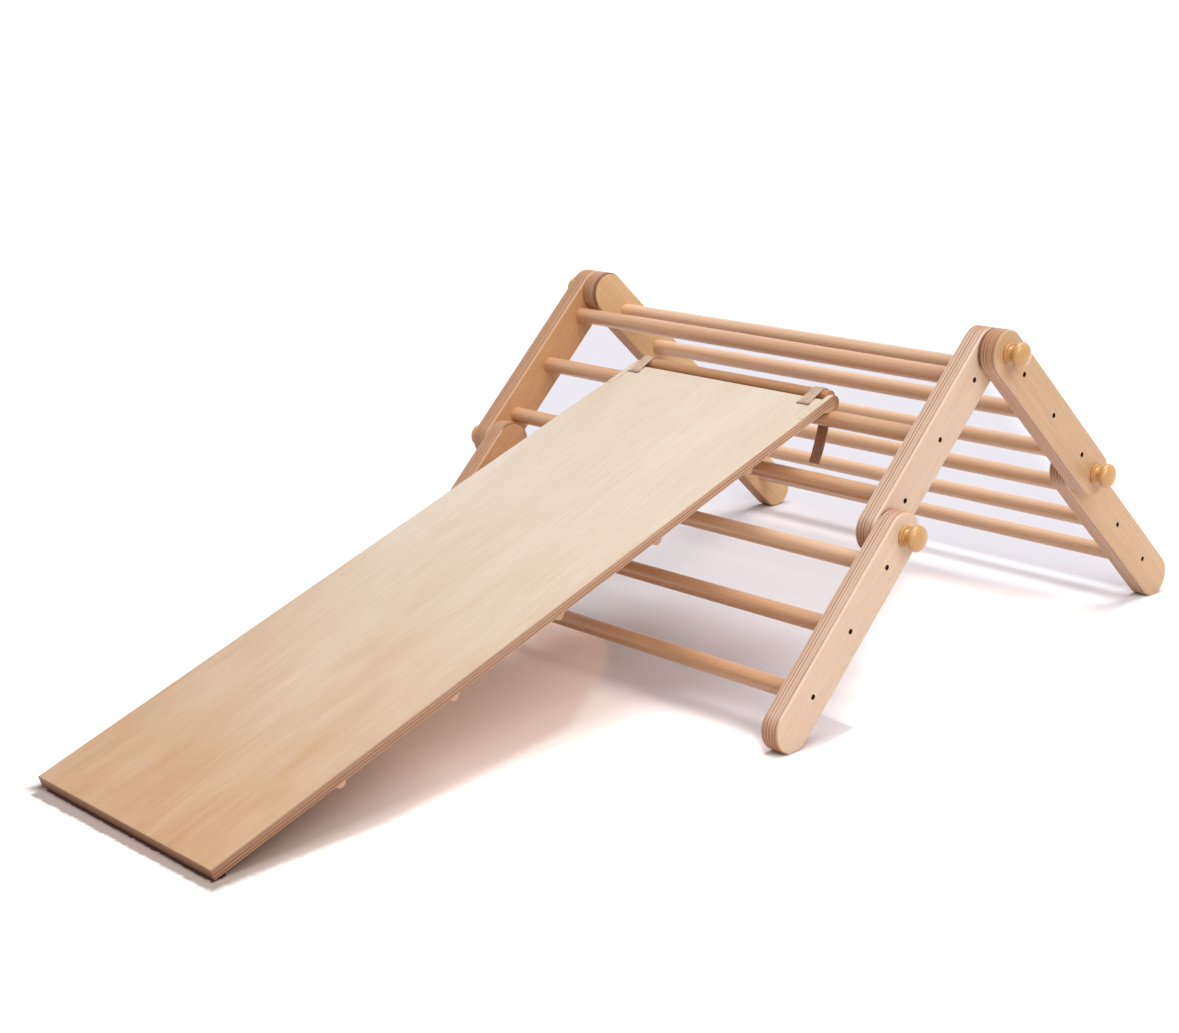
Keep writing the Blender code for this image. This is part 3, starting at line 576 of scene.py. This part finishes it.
def roundRims(bm, radius, segments, axis=(1, 0, 0)):
    bm.normal_update()
    flat = Vector(axis)
    rims = [edge for edge in bm.edges
            if sum(abs(face.normal.dot(flat)) > 0.999 for face in edge.link_faces) == 1]
    bmesh.ops.bevel(bm, geom=rims, offset=radius, affect="EDGES", segments=segments, profile=0.5, material=-1)


def paintFlats(bm, axis, share=0.98):
    bm.normal_update()
    flat = Vector(axis)
    for face in bm.faces:
        face.material_index = 0 if abs(face.normal.dot(flat)) > share else 1


# Rails

railShape = {"rimRadius": 0.003, "rimSegments": 5, "endSteps": 40,
             "recessRadius": 0.0039, "recessDepth": 0.0055, "recessSteps": 28, "footFlat": 0.001,
             "farShade": 0.85, "contactShadeReach": 0.3, "sideStep": 0.9, "acrossStep": 0.37, "alongStep": 0.53,
             "outward": 0.75, "inward": -0.98}


def railBlank(low, high, lean, hasFoot):
    bm = bmesh.new()
    start = bm.verts.new((low, railRadius, 0))
    upper = sweepVertex(bm, start, (0, 0, 0), halfTurn, railShape["endSteps"])
    moved = bmesh.ops.extrude_vert_indiv(bm, verts=[upper])["verts"][0]
    bmesh.ops.translate(bm, verts=[moved], vec=(0, 0, -pivotPitch))
    foot = Vector((0, 0, -pivotPitch))
    if hasFoot:
        down = 1.5 * halfTurn - lean                    # angle of the ground below the foot's middle
        half = math.acos(1 - railShape["footFlat"] / railRadius)
        heel = sweepVertex(bm, moved, foot, down - half - halfTurn, railShape["endSteps"] // 2)
        toe = bm.verts.new(foot + railRadius * Vector((0, math.cos(down + half), math.sin(down + half))))
        toe.co.x = low
        bm.edges.new((heel, toe))
        last = sweepVertex(bm, toe, foot, fullTurn - down - half, railShape["endSteps"] // 2)
    else:
        last = sweepVertex(bm, moved, foot, halfTurn, railShape["endSteps"])
    bm.edges.new((last, start))
    extrudeOutline(bm, high - low)
    roundRims(bm, railShape["rimRadius"], railShape["rimSegments"])
    return bm


def railEnds(co):
    return min(max(co.z, -pivotPitch - co.z, 0) / railRadius, 1)


# painted shade: the far rails' ply edges are darkened all along, as well as at their ends
def farRailEnds(co):
    return max(railEnds(co), railShape["farShade"])


# painted shade at the ends that lie on another rail: the sign gives the inner side, the size how close to the end
def railSeam(side, seams):
    def share(co):
        top = co.z if "top" in seams else 0
        low = -pivotPitch - co.z if "low" in seams else 0
        return side * min(max(top, low, 0) / (railShape["contactShadeReach"] * railRadius), 1)

    return share


def paintRail(bm, outer, sign):
    bm.normal_update()
    slack = 0.0001
    for face in bm.faces:
        middle = face.calc_center_median()
        # the walls of the screw recesses get the near-black painted shade
        bored = (slack < abs(middle.x - outer) < railShape["recessDepth"] + slack and -pivotPitch < middle.z < 0
                 and abs(middle.y) < railShape["recessRadius"] + slack)
        lean = face.normal.x * sign
        # faces turned to the inside get the darker inner look, which is painted shade
        inner = 2 if lean < railShape["inward"] else 1
        face.material_index = 3 if bored else 0 if lean > railShape["outward"] else inner


def addRails():
    for index, (body, leg) in enumerate(legs.items()):
        move = Matrix.Translation(leg["top"]) @ Matrix.Rotation(leg["lean"], 4, "X")
        turnBack = move.inverted()
        for side, sign in sides:
            node = body + "_rail_" + side
            low, high = endsOf(node)
            bm = railBlank(low, high, leg["lean"], leg["foot"])
            outer = high if sign > 0 else low
            cutter = bmesh.new()
            for number in (1, 2, 3):
                rungAt = turnBack @ boxMiddle(body + "_rung_" + str(number))
                addCylinderX(cutter, (outer, rungAt.y, rungAt.z), railShape["recessRadius"],
                             2 * railShape["recessDepth"], railShape["recessSteps"])
            bm = cutAway(bm, cutter)
            paintRail(bm, outer, sign)
            across = railShape["acrossStep"] * index + railShape["sideStep"] * (sign > 0)
            grain = grainZ, (-(low + high) / 2, across, railShape["alongStep"] * index)
            face, inner = (frontFace, frontInnerShade) if body.startswith("front") else (rearFace, rearInnerShade)
            shares = {"EndShare": railEnds if sign > 0 else farRailEnds,
                      "SeamSide": railSeam(sign, leg["seams"])}
            finishPiece(node, bm, [face, railPlies, inner, recessShade], body, grain, move,
                        shares=shares)


addRails()
print("rails built")


# Rungs and their screws

rungShape = {"segments": 48, "inRail": 0.004, "radius": 0.0125, "grainTurn": 1.3, "grainStep": 0.61}
screwShape = {"headRadius": 0.003, "headDepth": 0.0024, "ease": 0.0004, "segments": 24, "below": 0.0031,
              "slotRadius": 0.0013, "slotDepth": 0.0012, "slotSides": 6}


def addRungs():
    for index, (body, leg) in enumerate(legs.items()):
        for number in (1, 2, 3):
            node = body + "_rung_" + str(number)
            middle = boxMiddle(node)
            low = endsOf(body + "_rail_far")[1] - rungShape["inRail"]
            high = endsOf(body + "_rail_near")[0] + rungShape["inRail"]
            bm = bmesh.new()
            addCylinderX(bm, ((low + high) / 2, 0, 0), rungShape["radius"], high - low, rungShape["segments"])
            seed = 3 * index + number
            grain = (Matrix(grainX) @ Matrix.Rotation(rungShape["grainTurn"] * seed, 3, "X"),
                     (0, 0, rungShape["grainStep"] * seed))
            finishPiece(node, bm, [rungWood], body, grain, Matrix.Translation((0, middle.y, middle.z)),
                        shares={"PaleShare": lambda co, pale=leg["pale"][number - 1]: pale})


def screwHead():
    bm = bmesh.new()
    rim, depth, ease = screwShape["headRadius"], screwShape["headDepth"], screwShape["ease"]
    spinProfile(bm, [(0, 0), (0, rim - ease), (-ease, rim), (-2 * ease, rim), (-depth, rim / 2), (-depth, 0)],
                screwShape["segments"])
    socket = bmesh.new()
    addCylinderX(socket, (0, 0, 0), screwShape["slotRadius"], 2 * screwShape["slotDepth"], screwShape["slotSides"])
    return cutAway(bm, socket)


def addRungScrews():
    for body in legs:
        for side, sign in sides:
            outer = endsOf(body + "_rail_" + side)[sign > 0]
            for number in (1, 2, 3):
                middle = boxMiddle(body + "_rung_" + str(number))
                bm = screwHead()
                place = Vector((outer - sign * screwShape["below"], middle.y, middle.z))
                grain = grainZ, (0, 0, 0)
                finishPiece(body + "_screw_" + side + "_" + str(number), bm, [blackSteel], body,
                            grain, Matrix.Translation(place) @ outwardTurn(sign), added=True)


addRungs()
addRungScrews()
print("rungs built")


# Knobs

knobShape = {"collarRadius": 0.0155, "collarHeight": 0.0048, "neckRadius": 0.0115, "neckCove": 0.0012,
             "ballRadius": 0.01875, "ballDepth": 0.0095, "ballHeight": 0.021, "round": 0.0009, "gap": 0.0003,
             "segments": 64, "ballSteps": 30, "coveSteps": 8, "roundSteps": 5, "grainTurn": 0.9,
             "grainFrom": (0.002, -0.043), "grainStep": 0.4}


def knobProfile():
    shape = knobShape
    ball, depth, neck = shape["ballRadius"], shape["ballDepth"], shape["neckRadius"]
    ease, gap = shape["round"], shape["gap"]
    points = [(gap, 0), (gap, shape["collarRadius"] - ease)]
    for rimAt, start in ((gap + ease, halfTurn), (shape["collarHeight"] - ease, halfTurn / 2)):
        for step in range(shape["roundSteps"] + 1):
            angle = start - step / shape["roundSteps"] * halfTurn / 2
            points.append((rimAt + ease * math.cos(angle), shape["collarRadius"] - ease + ease * math.sin(angle)))
    start = halfTurn - math.asin(neck / ball)
    neckEnd = shape["ballHeight"] + depth * math.cos(start)
    for step in range(shape["coveSteps"] + 1):
        share = step / shape["coveSteps"]
        points.append((shape["collarHeight"] + share * (neckEnd - shape["collarHeight"]),
                       neck - shape["neckCove"] * math.sin(halfTurn * share)))
    for step in range(1, shape["ballSteps"] + 1):
        angle = start * (1 - step / shape["ballSteps"])
        points.append((shape["ballHeight"] + depth * math.cos(angle), ball * math.sin(angle)))
    points[-1] = (shape["ballHeight"] + depth, 0)
    return points


def addKnobs():
    outer = max(endsOf(rail)[1] for rail in ("front_lower_rail_near", "rear_upper_rail_near"))
    for index, (joint, at) in enumerate((("apex", apexAt), ("front", frontMidAt), ("rear", rearMidAt))):
        for side, sign in sides:
            node = joint + "_knob_" + side
            bm = bmesh.new()
            spinProfile(bm, knobProfile(), knobShape["segments"])
            spin = Matrix.Rotation(knobShape["grainTurn"] * (2 * index + (sign > 0)), 3, "X")
            grain = Matrix(grainX) @ spin, (*knobShape["grainFrom"], knobShape["grainStep"] * index)
            finishPiece(node, bm, [knobWood], node, grain,
                        Matrix.Translation((sign * outer, at.y, at.z)) @ outwardTurn(sign))
            for metal in ("_bolt_", "_insert_"):
                for socket in frame["nodes"][joint + metal + side].material_slots:
                    socket.material = zincSteel


addKnobs()
print("knobs built")


# Slide board, in its own directions: X across it, Y up its length from the rung's axis, Z square to it

boardShape = {
    "thickness": 0.015, "under": 0.0178, "endBack": 0.002, "length": 1.142, "rim": 0.0011, "rimSegments": 3,
    "slotLength": 0.0215, "slotWidth": 0.0035, "slotFromEnd": 0.019, "gap": 0.0003, "endDarkening": 0.8, "endDarkeningLength": 0.5,
    "endBand": 0.002, "cutPast": 0.01, "slotReach": 0.001,
}
hookShape = {"thickness": 0.0095, "length": 0.058, "seat": 0.0128, "wrap": math.radians(44),
             "frontWrap": math.radians(112), "ramp": 0.01, "rim": 0.0006, "endDarkeningLength": 0.012, "steps": 24}
barShape = {"radius": 0.011, "forward": 0.015, "above": 0.0255, "tenonRadius": 0.003, "tenonLength": 0.006,
            "ease": 0.0006, "segments": 48}
battenShape = {"width": 0.017, "height": 0.0085, "first": 0.177, "pitch": 0.1917, "count": 5,
               "endRound": 0.0012, "steps": 20, "grainFrom": (0.03, 0.01), "grainStep": 0.43}
strapShape = {
    "width": 0.0195, "thickness": 0.0019, "inset": {"near": 0.021, "far": 0.0125}, "bend": 0.0022, "tuck": 0.026,
    "tailDrop": 0.07, "tailBack": -0.006, "startPull": 0.03, "endPull": 0.035,
    "tailStart": math.radians(-78), "tailEnd": math.radians(-116), "tailSteps": 40, "across": 10, "pitch": 0.0012,
    "edge": 0.0005, "screwFromSlot": 0.017, "screwRadius": 0.0045, "screwHeight": 0.002, "screwShank": 0.0018,
    "screwLength": 0.0104, "screwSlot": (0.0022, 0.0044, 0.0009), "screwSegments": 32,
    "screwDome": ((1, 0), (1, 0.4), (0.8, 0.75), (0.35, 0.97), (0, 1)),     # shares of its height and radius
}
boardMiddle = boxMiddle("board_panel").x
boardHalf = boxSize("board_panel").x / 2
boardCentre = -boardShape["under"] - boardShape["thickness"] / 2
barAt = boxMiddle("board_bar") - boardAt
boardSlope = math.atan2(barAt.z, barAt.y) - math.atan2(barShape["above"], barShape["forward"])
boardMove = Matrix.Translation((boardMiddle, boardAt.y, boardAt.z)) @ Matrix.Rotation(boardSlope, 4, "X")
boardTop = boardShape["under"] + boardShape["thickness"]
boardEnd = -boardShape["endBack"]
slotAt = boardEnd - boardShape["slotFromEnd"]
boardGrain = grainY, (boardCentre, 0.31, 0)


def strapMiddle(side, sign):
    return sign * (boardHalf - strapShape["inset"][side] - strapShape["width"] / 2)


def addBox(bm, low, high):
    made = bmesh.ops.create_cube(bm, size=1)
    bmesh.ops.scale(bm, verts=made["verts"], vec=Vector(high) - Vector(low))
    bmesh.ops.translate(bm, verts=made["verts"], vec=(Vector(high) + Vector(low)) / 2)


# ply edges darker towards the board's low end, darkest on its end face
def boardEnds(co):
    left = co.y - boardEnd + boardShape["length"]
    return 1 if left < boardShape["endBand"] else max(boardShape["endDarkening"] - left / boardShape["endDarkeningLength"], 0)


def addBoard():
    shape = boardShape
    bm = bmesh.new()
    addBox(bm, (-boardHalf, boardEnd - shape["length"], shape["under"]), (boardHalf, boardEnd, boardTop))
    cutter = bmesh.new()
    past = shape["cutPast"]
    for side, sign in sides:
        neck = sign * (boardHalf - hookShape["thickness"] - shape["gap"])
        low, high = sorted((neck, sign * (boardHalf + past)))
        addBox(cutter, (low, boardEnd - hookShape["length"] - shape["gap"], shape["under"] - past),
               (high, boardEnd + past, boardTop + past))
        middle = strapMiddle(side, sign)
        addBox(cutter, (middle - shape["slotLength"] / 2, slotAt - shape["slotWidth"] / 2, shape["under"] - past),
               (middle + shape["slotLength"] / 2, slotAt + shape["slotWidth"] / 2, boardTop + past))
    bm = cutAway(bm, cutter)
    roundRims(bm, shape["rim"], shape["rimSegments"], (0, 0, 1))
    paintFlats(bm, (0, 0, 1))
    for face in bm.faces:
        middle = face.calc_center_median()
        reach = shape["slotLength"] / 2 + shape["slotReach"]
        inSlot = any(abs(middle.x - strapMiddle(*side)) < reach for side in sides)
        if face.normal.z < -0.98:
            face.material_index = 2
        # the strap slots' walls get the near-black painted shade
        elif face.material_index == 1 and inSlot and abs(middle.y - slotAt) < shape["slotWidth"]:
            face.material_index = 3
    finishPiece("board_panel", bm, [boardFace, boardPlies, boardUnder, recessShade], "board",
                boardGrain, boardMove, shares={"EndShare": boardEnds})


def addHooks():
    shape = hookShape
    seat = shape["seat"]
    noseLow = seat * math.sin(shape["wrap"])
    noseRadius = (boardTop - noseLow) / 2
    noseAt = (0, seat * math.cos(shape["wrap"]), noseLow + noseRadius)
    back = boardEnd - shape["length"]
    for side, sign in sides:
        low, high = sorted((sign * (boardHalf - shape["thickness"]), sign * boardHalf))
        bm = bmesh.new()
        saddleStart = Vector((low, seat * math.cos(shape["frontWrap"]), seat * math.sin(shape["frontWrap"])))
        first = bm.verts.new((low, back, boardTop))
        under = bm.verts.new((low, back, boardShape["under"]))
        ramp = bm.verts.new((low, saddleStart.y - shape["ramp"], boardShape["under"]))
        saddle = bm.verts.new(saddleStart)
        for pair in ((first, under), (under, ramp), (ramp, saddle)):
            bm.edges.new(pair)
        tip = sweepVertex(bm, saddle, (0, 0, 0), shape["wrap"] - shape["frontWrap"], shape["steps"])
        last = sweepVertex(bm, tip, noseAt, halfTurn, shape["steps"])
        bm.edges.new((last, first))
        extrudeOutline(bm, high - low)
        roundRims(bm, shape["rim"], 3)
        paintFlats(bm, (0, 0, 1), 0.9)
        # its ply edges darker towards the hook's nose
        finishPiece("board_hook_" + side, bm, [boardFace, hookPlies], "board", boardGrain, boardMove,
                    shares={"EndShare": lambda co: min(max(co.y / shape["endDarkeningLength"], 0), 1)})


def addBar():
    shape = barShape
    shoulder = boardHalf - hookShape["thickness"] - boardShape["gap"]
    half = [(shoulder + shape["tenonLength"], 0), (shoulder + shape["tenonLength"], shape["tenonRadius"]),
            (shoulder, shape["tenonRadius"]), (shoulder, shape["radius"] - shape["ease"]),
            (shoulder - shape["ease"], shape["radius"])]
    bm = bmesh.new()
    spinProfile(bm, half + [(-along, radius) for along, radius in half[::-1]], shape["segments"])
    grain = grainX, (0, 0, 0.17)
    finishPiece("board_bar", bm, [barWood], "board", grain,
                boardMove @ Matrix.Translation((0, shape["forward"], shape["above"])))


def addBattens():
    shape = battenShape
    low, high = (end - boardMiddle for end in endsOf("board_batten_1"))
    seat = boardShape["under"] - boardShape["gap"]
    for index in range(shape["count"]):
        along = boardEnd - shape["first"] - index * shape["pitch"]
        bm = bmesh.new()
        start = bm.verts.new((low, along - shape["width"] / 2, seat))
        last = sweepVertex(bm, start, (0, along, seat), halfTurn, shape["steps"])
        bm.edges.new((last, start))
        extrudeOutline(bm, high - low)
        roundRims(bm, shape["endRound"], 3)
        grain = grainX, (*shape["grainFrom"], shape["grainStep"] * index)
        finishPiece("board_batten_" + str(index + 1), bm, [rungWood], "board", grain, boardMove)


def arcPoints(centre, radius, start, end, steps):
    angles = [start + (end - start) * step / steps for step in range(steps + 1)]
    return [Vector((centre[0] + radius * math.cos(angle), centre[1] + radius * math.sin(angle))) for angle in angles]


def strapPath():
    shape = strapShape
    half = shape["thickness"] / 2
    under = boardShape["under"] - boardShape["gap"] - half
    over = boardTop + boardShape["gap"] + half
    bar = (barShape["forward"], barShape["above"])
    wrap = barShape["radius"] + boardShape["gap"] + half
    bend = shape["bend"]
    path = [Vector((slotAt - shape["tuck"], under))]
    path += arcPoints((slotAt - bend, under + bend), bend, -halfTurn / 2, 0, 8)
    path += arcPoints((slotAt + bend, over - bend), bend, halfTurn, halfTurn / 2, 8)
    reach = (bar[0] - slotAt - bend, bar[1] - over)
    climb = math.atan2(reach[1], reach[0]) + math.asin(wrap / math.hypot(reach[0], reach[1]))
    leave = shape["tailStart"] - boardSlope
    path += arcPoints(bar, wrap, climb + halfTurn / 2, leave + halfTurn / 2, 24)
    start = path[-1]
    turn = Matrix.Rotation(-boardSlope, 2)
    end = turn @ Vector((shape["tailBack"], -shape["tailDrop"]))
    last = shape["tailEnd"] - boardSlope
    first = start + shape["startPull"] * Vector((math.cos(leave), math.sin(leave)))
    second = end - shape["endPull"] * Vector((math.cos(last), math.sin(last)))
    for step in range(1, shape["tailSteps"] + 1):
        t = step / shape["tailSteps"]
        left = 1 - t
        path.append(left ** 3 * start + 3 * left ** 2 * t * first + 3 * left * t ** 2 * second + t ** 3 * end)
    return path


def alongPath(path):
    lengths = [0]
    for before, after in zip(path, path[1:]):
        lengths.append(lengths[-1] + (after - before).length)

    def bend(co):
        run = min(max(co.y, 0), lengths[-1] - 1e-7)
        index = max(step for step, length in enumerate(lengths[:-1]) if length <= run)
        share = (run - lengths[index]) / (lengths[index + 1] - lengths[index])
        at = path[index].lerp(path[index + 1], share)
        before = path[max(index - 1, 0)]
        after = path[min(index + 2, len(path) - 1)]
        heading = (path[index + 1] - before).normalized().lerp((after - path[index]).normalized(), share).normalized()
        at = at + Vector((-heading.y, heading.x)) * co.z
        return Vector((co.x, at.x, at.y))

    return lengths[-1], bend


def addStraps():
    shape = strapShape
    length, bend = alongPath(strapPath())
    for side, sign in sides:
        bm = bmesh.new()
        bmesh.ops.create_grid(bm, x_segments=shape["across"], y_segments=round(length / shape["pitch"]), size=0.5)
        bmesh.ops.scale(bm, verts=bm.verts, vec=(shape["width"], length, 1))
        bmesh.ops.translate(bm, verts=bm.verts, vec=(0, length / 2, -shape["thickness"] / 2))
        extrudeBy(bm, list(bm.faces), (0, 0, shape["thickness"]))
        roundRims(bm, shape["edge"], 2, (0, 0, 1))
        grain = ((1, 0, 0), (0, 0, 1), (0, 1, 0)), (0, 0, 0)
        finishPiece("board_strap_" + side, bm, [webbing], "board", grain,
                    boardMove @ Matrix.Translation((strapMiddle(side, sign), 0, 0)), bend=bend)


def addStrapScrews():
    shape = strapShape
    seat = 2 * boardShape["gap"] + shape["thickness"]
    for side, sign in sides:
        bm = bmesh.new()
        head, high = shape["screwRadius"], shape["screwHeight"]
        profile = [(-seat - high * up, head * out) for up, out in shape["screwDome"]]
        profile += [(-seat, shape["screwShank"]), (shape["screwLength"] - shape["screwShank"], shape["screwShank"]),
                    (shape["screwLength"], 0)]
        spinProfile(bm, profile, shape["screwSegments"])
        for turn in (0, halfTurn / 2):
            socket = bmesh.new()
            verts = bmesh.ops.create_cube(socket, size=1)["verts"]
            bmesh.ops.scale(socket, verts=verts, vec=shape["screwSlot"])
            bmesh.ops.rotate(socket, verts=verts, cent=(0, 0, 0), matrix=Matrix.Rotation(turn, 3, "X"))
            bmesh.ops.translate(socket, verts=verts, vec=(-seat - high, 0, 0))
            bm = cutAway(bm, socket)
        bmesh.ops.rotate(bm, verts=bm.verts, cent=(0, 0, 0), matrix=Matrix.Rotation(-halfTurn / 2, 3, "Y"))
        grain = grainZ, (0, 0, 0)
        place = (strapMiddle(side, sign), slotAt - shape["screwFromSlot"], boardShape["under"])
        finishPiece("board_strap_screw_" + side, bm, [blackSteel], "board", grain,
                    boardMove @ Matrix.Translation(place))


addBoard()
addHooks()
addBar()
addBattens()
addStraps()
addStrapScrews()
print("board built")


# Stage

stageLook = {
    "paper": (0.68, 0.585, 0.52, 1), "seenPaper": (1.45, 1.4, 1.42, 1), "size": 40.0,
    "paintedShadeAreas": (                         # painted shade and painted light on the floor, corners clockwise; "with" is a piece above it
        {"colour": (0.7, 0.69, 0.76, 1), "with": "rear_lower_rail_near", "inner": 0.04, "edge": 0.16,
         "corners": ((-2.32, 2.09), (-0.95, 2.13), (0.41, 0.8), (0.39, 0.74), (-0.96, 0.5), (-1.27, 0.83))},
        {"colour": (0.88, 0.87, 0.94, 1), "with": "rear_lower_rail_near", "inner": 0.03, "edge": 0.1,
         "corners": ((-1.27, 0.83), (-0.05, 0.77), (0.42, -0.06), (-0.43, -0.08))},
        {"colour": (1.06, 1.12, 1.24, 1), "with": "rear_lower_rail_near", "inner": 0.01, "edge": 0.04,
         "corners": ((-0.08, 0.795), (0.43, 0.795), (0.45, 0.7), (-0.04, 0.7))},
        {"colour": (1.24, 1.09, 1.04, 1), "with": "board_panel", "edge": 0.03,
         "low": (0.3, 0.24, 0.21, 1), "from": -0.44, "to": -0.86,
         "corners": ((-0.26, 0.08), (-0.06, 0.06), (0.02, -0.06), (0.12, -0.16), (0.216, -0.6), (0.222, -0.845),
                     (-0.19, -0.845))},
        {"colour": (0.94, 0.92, 0.97, 1), "with": "front_lower_rail_near", "edge": 0.01,
         "corners": ((0.36, 0.04), (0.431, 0.034), (0.45, -0.095), (0.41, -0.112), (0.36, -0.07))},
        {"colour": (0.4, 0.325, 0.305, 1), "with": "board_panel", "edge": 0.006,
         "corners": ((-0.18, -0.83), (0.222, -0.83), (0.22, -0.854), (-0.175, -0.861))},
        {"colour": (0.1, 0.055, 0.045, 1), "with": "board_panel", "edge": 0.003,
         "corners": ((-0.178, -0.82), (0.208, -0.82), (0.213, -0.8415), (-0.176, -0.8415))},
    ),
    "raggedBy": 0.01, "stillWithin": 0.01, "movedBy": 0.03,
    "clearFrom": 3.0, "clearTo": 4.2, "skyColour": (0.96, 0.96, 1.0, 1), "skyStrength": 0.23,
}


def seenRays(tree):
    rays = addNode(tree, "LightPath").outputs
    direct = doMath(tree, "MAXIMUM", rays["Is Camera Ray"], rays["Is Glossy Ray"])
    return doMath(tree, "MAXIMUM", direct, rays["Is Transmission Ray"])


def outsideArea(tree, place, corners):
    distance = None
    for start, end in zip(corners, corners[1:] + corners[:1]):
        run = Vector(end) - Vector(start)
        outward = Vector((-run.y, run.x, 0)).normalized()
        reach = addNode(tree, "VectorMath", {"operation": "DOT_PRODUCT"}, i0=place, i1=outward).outputs["Value"]
        past = minus(tree, reach, outward.dot(Vector(start).to_3d()))
        distance = past if distance is None else doMath(tree, "MAXIMUM", distance, past)
    return distance


def stillOver(tree, node):
    guide = addNode(tree, "TexCoord", {"object": bpy.data.objects["fine_" + node]})
    height = partsOf(tree, guide.outputs["Object"])["Z"]
    moved = doMath(tree, "ABSOLUTE", height)
    return remap(tree, moved, stageLook["stillWithin"], stageLook["movedBy"], 1.0, 0.0, True)


def floorColour(tree, place):
    along = partsOf(tree, place)["Y"]
    ragged = fromMiddle(tree, noiseAt(tree, place, 90.0, 3.0, 0.7), stageLook["raggedBy"])
    shown = stageLook["seenPaper"]
    for area in stageLook["paintedShadeAreas"]:
        inner = area.get("inner", 0)
        past = plus(tree, outsideArea(tree, place, area["corners"]), ragged)
        inside = remap(tree, past, -inner, area["edge"] - inner, 1.0, 0.0, True)
        inside = times(tree, inside, stillOver(tree, area["with"]))         # no painted shade once that piece has moved
        colour = area["colour"]
        if "low" in area:
            colour = blendColours(tree, remap(tree, along, area["from"], area["to"]), colour, area["low"])
        shown = blendColours(tree, inside, shown, colour)
    return shown


def addFloor():
    bm = bmesh.new()
    bmesh.ops.create_grid(bm, x_segments=1, y_segments=1, size=stageLook["size"])
    floor = meshObject("floor", bm)
    material, tree, shader = startMaterial("floorPaper", 0.9)
    shader.inputs["Specular IOR Level"].default_value = 0.1
    seen = seenRays(tree)
    place = addNode(tree, "TexCoord").outputs["Object"]
    colour = blendColours(tree, seen, stageLook["paper"], floorColour(tree, place))
    tree.links.new(colour, shader.inputs["Base Color"])
    white = addNode(tree, "Emission", None, Color=(1, 1, 1, 1), Strength=1.0)
    away = addNode(tree, "VectorMath", {"operation": "LENGTH"}, i0=place).outputs["Value"]
    clear = remap(tree, away, stageLook["clearFrom"], stageLook["clearTo"], 0.0, 1.0, True)
    mixed = addNode(tree, "MixShader", None, i0=times(tree, clear, seen), i1=shader.outputs[0], i2=white.outputs[0])
    tree.links.new(mixed.outputs[0], tree.nodes["Material Output"].inputs["Surface"])
    floor.data.materials.append(material)


def addWorld():
    world = bpy.data.worlds.new("studio")
    bpy.context.scene.world = world
    world.use_nodes = True
    tree = world.node_tree
    tree.nodes.clear()
    seen = seenRays(tree)
    sky = addNode(tree, "Background", None, Color=stageLook["skyColour"], Strength=stageLook["skyStrength"])
    white = addNode(tree, "Background", None, Color=(1, 1, 1, 1), Strength=1.0)
    mixed = addNode(tree, "MixShader", None, i0=seen, i1=sky.outputs[0], i2=white.outputs[0])
    tree.links.new(mixed.outputs[0], addNode(tree, "OutputWorld").inputs["Surface"])


lamps = {
    "keyLamp": {"towards": (0.0, -0.13, -1.0), "strength": 2.1, "spread": 40, "colour": (1.0, 0.98, 0.95)},
    "sideLamp": {"towards": (-0.8, 0.24, -0.68), "strength": 1.62, "spread": 50, "colour": (1.0, 0.97, 0.93)},
}


def addSun(name, towards, strength, spread, colour):
    data = bpy.data.lights.new(name, "SUN")
    data.energy = strength
    data.angle = math.radians(spread)
    data.color = colour
    lamp = newObject(name, data)
    lamp.matrix_world = Vector(towards).to_track_quat("-Z", "Y").to_matrix().to_4x4()


addFloor()
addWorld()
for lampName, lampLook in lamps.items():
    addSun(lampName, **lampLook)
bpy.context.scene.view_settings.view_transform = "Standard"
print("stage built")
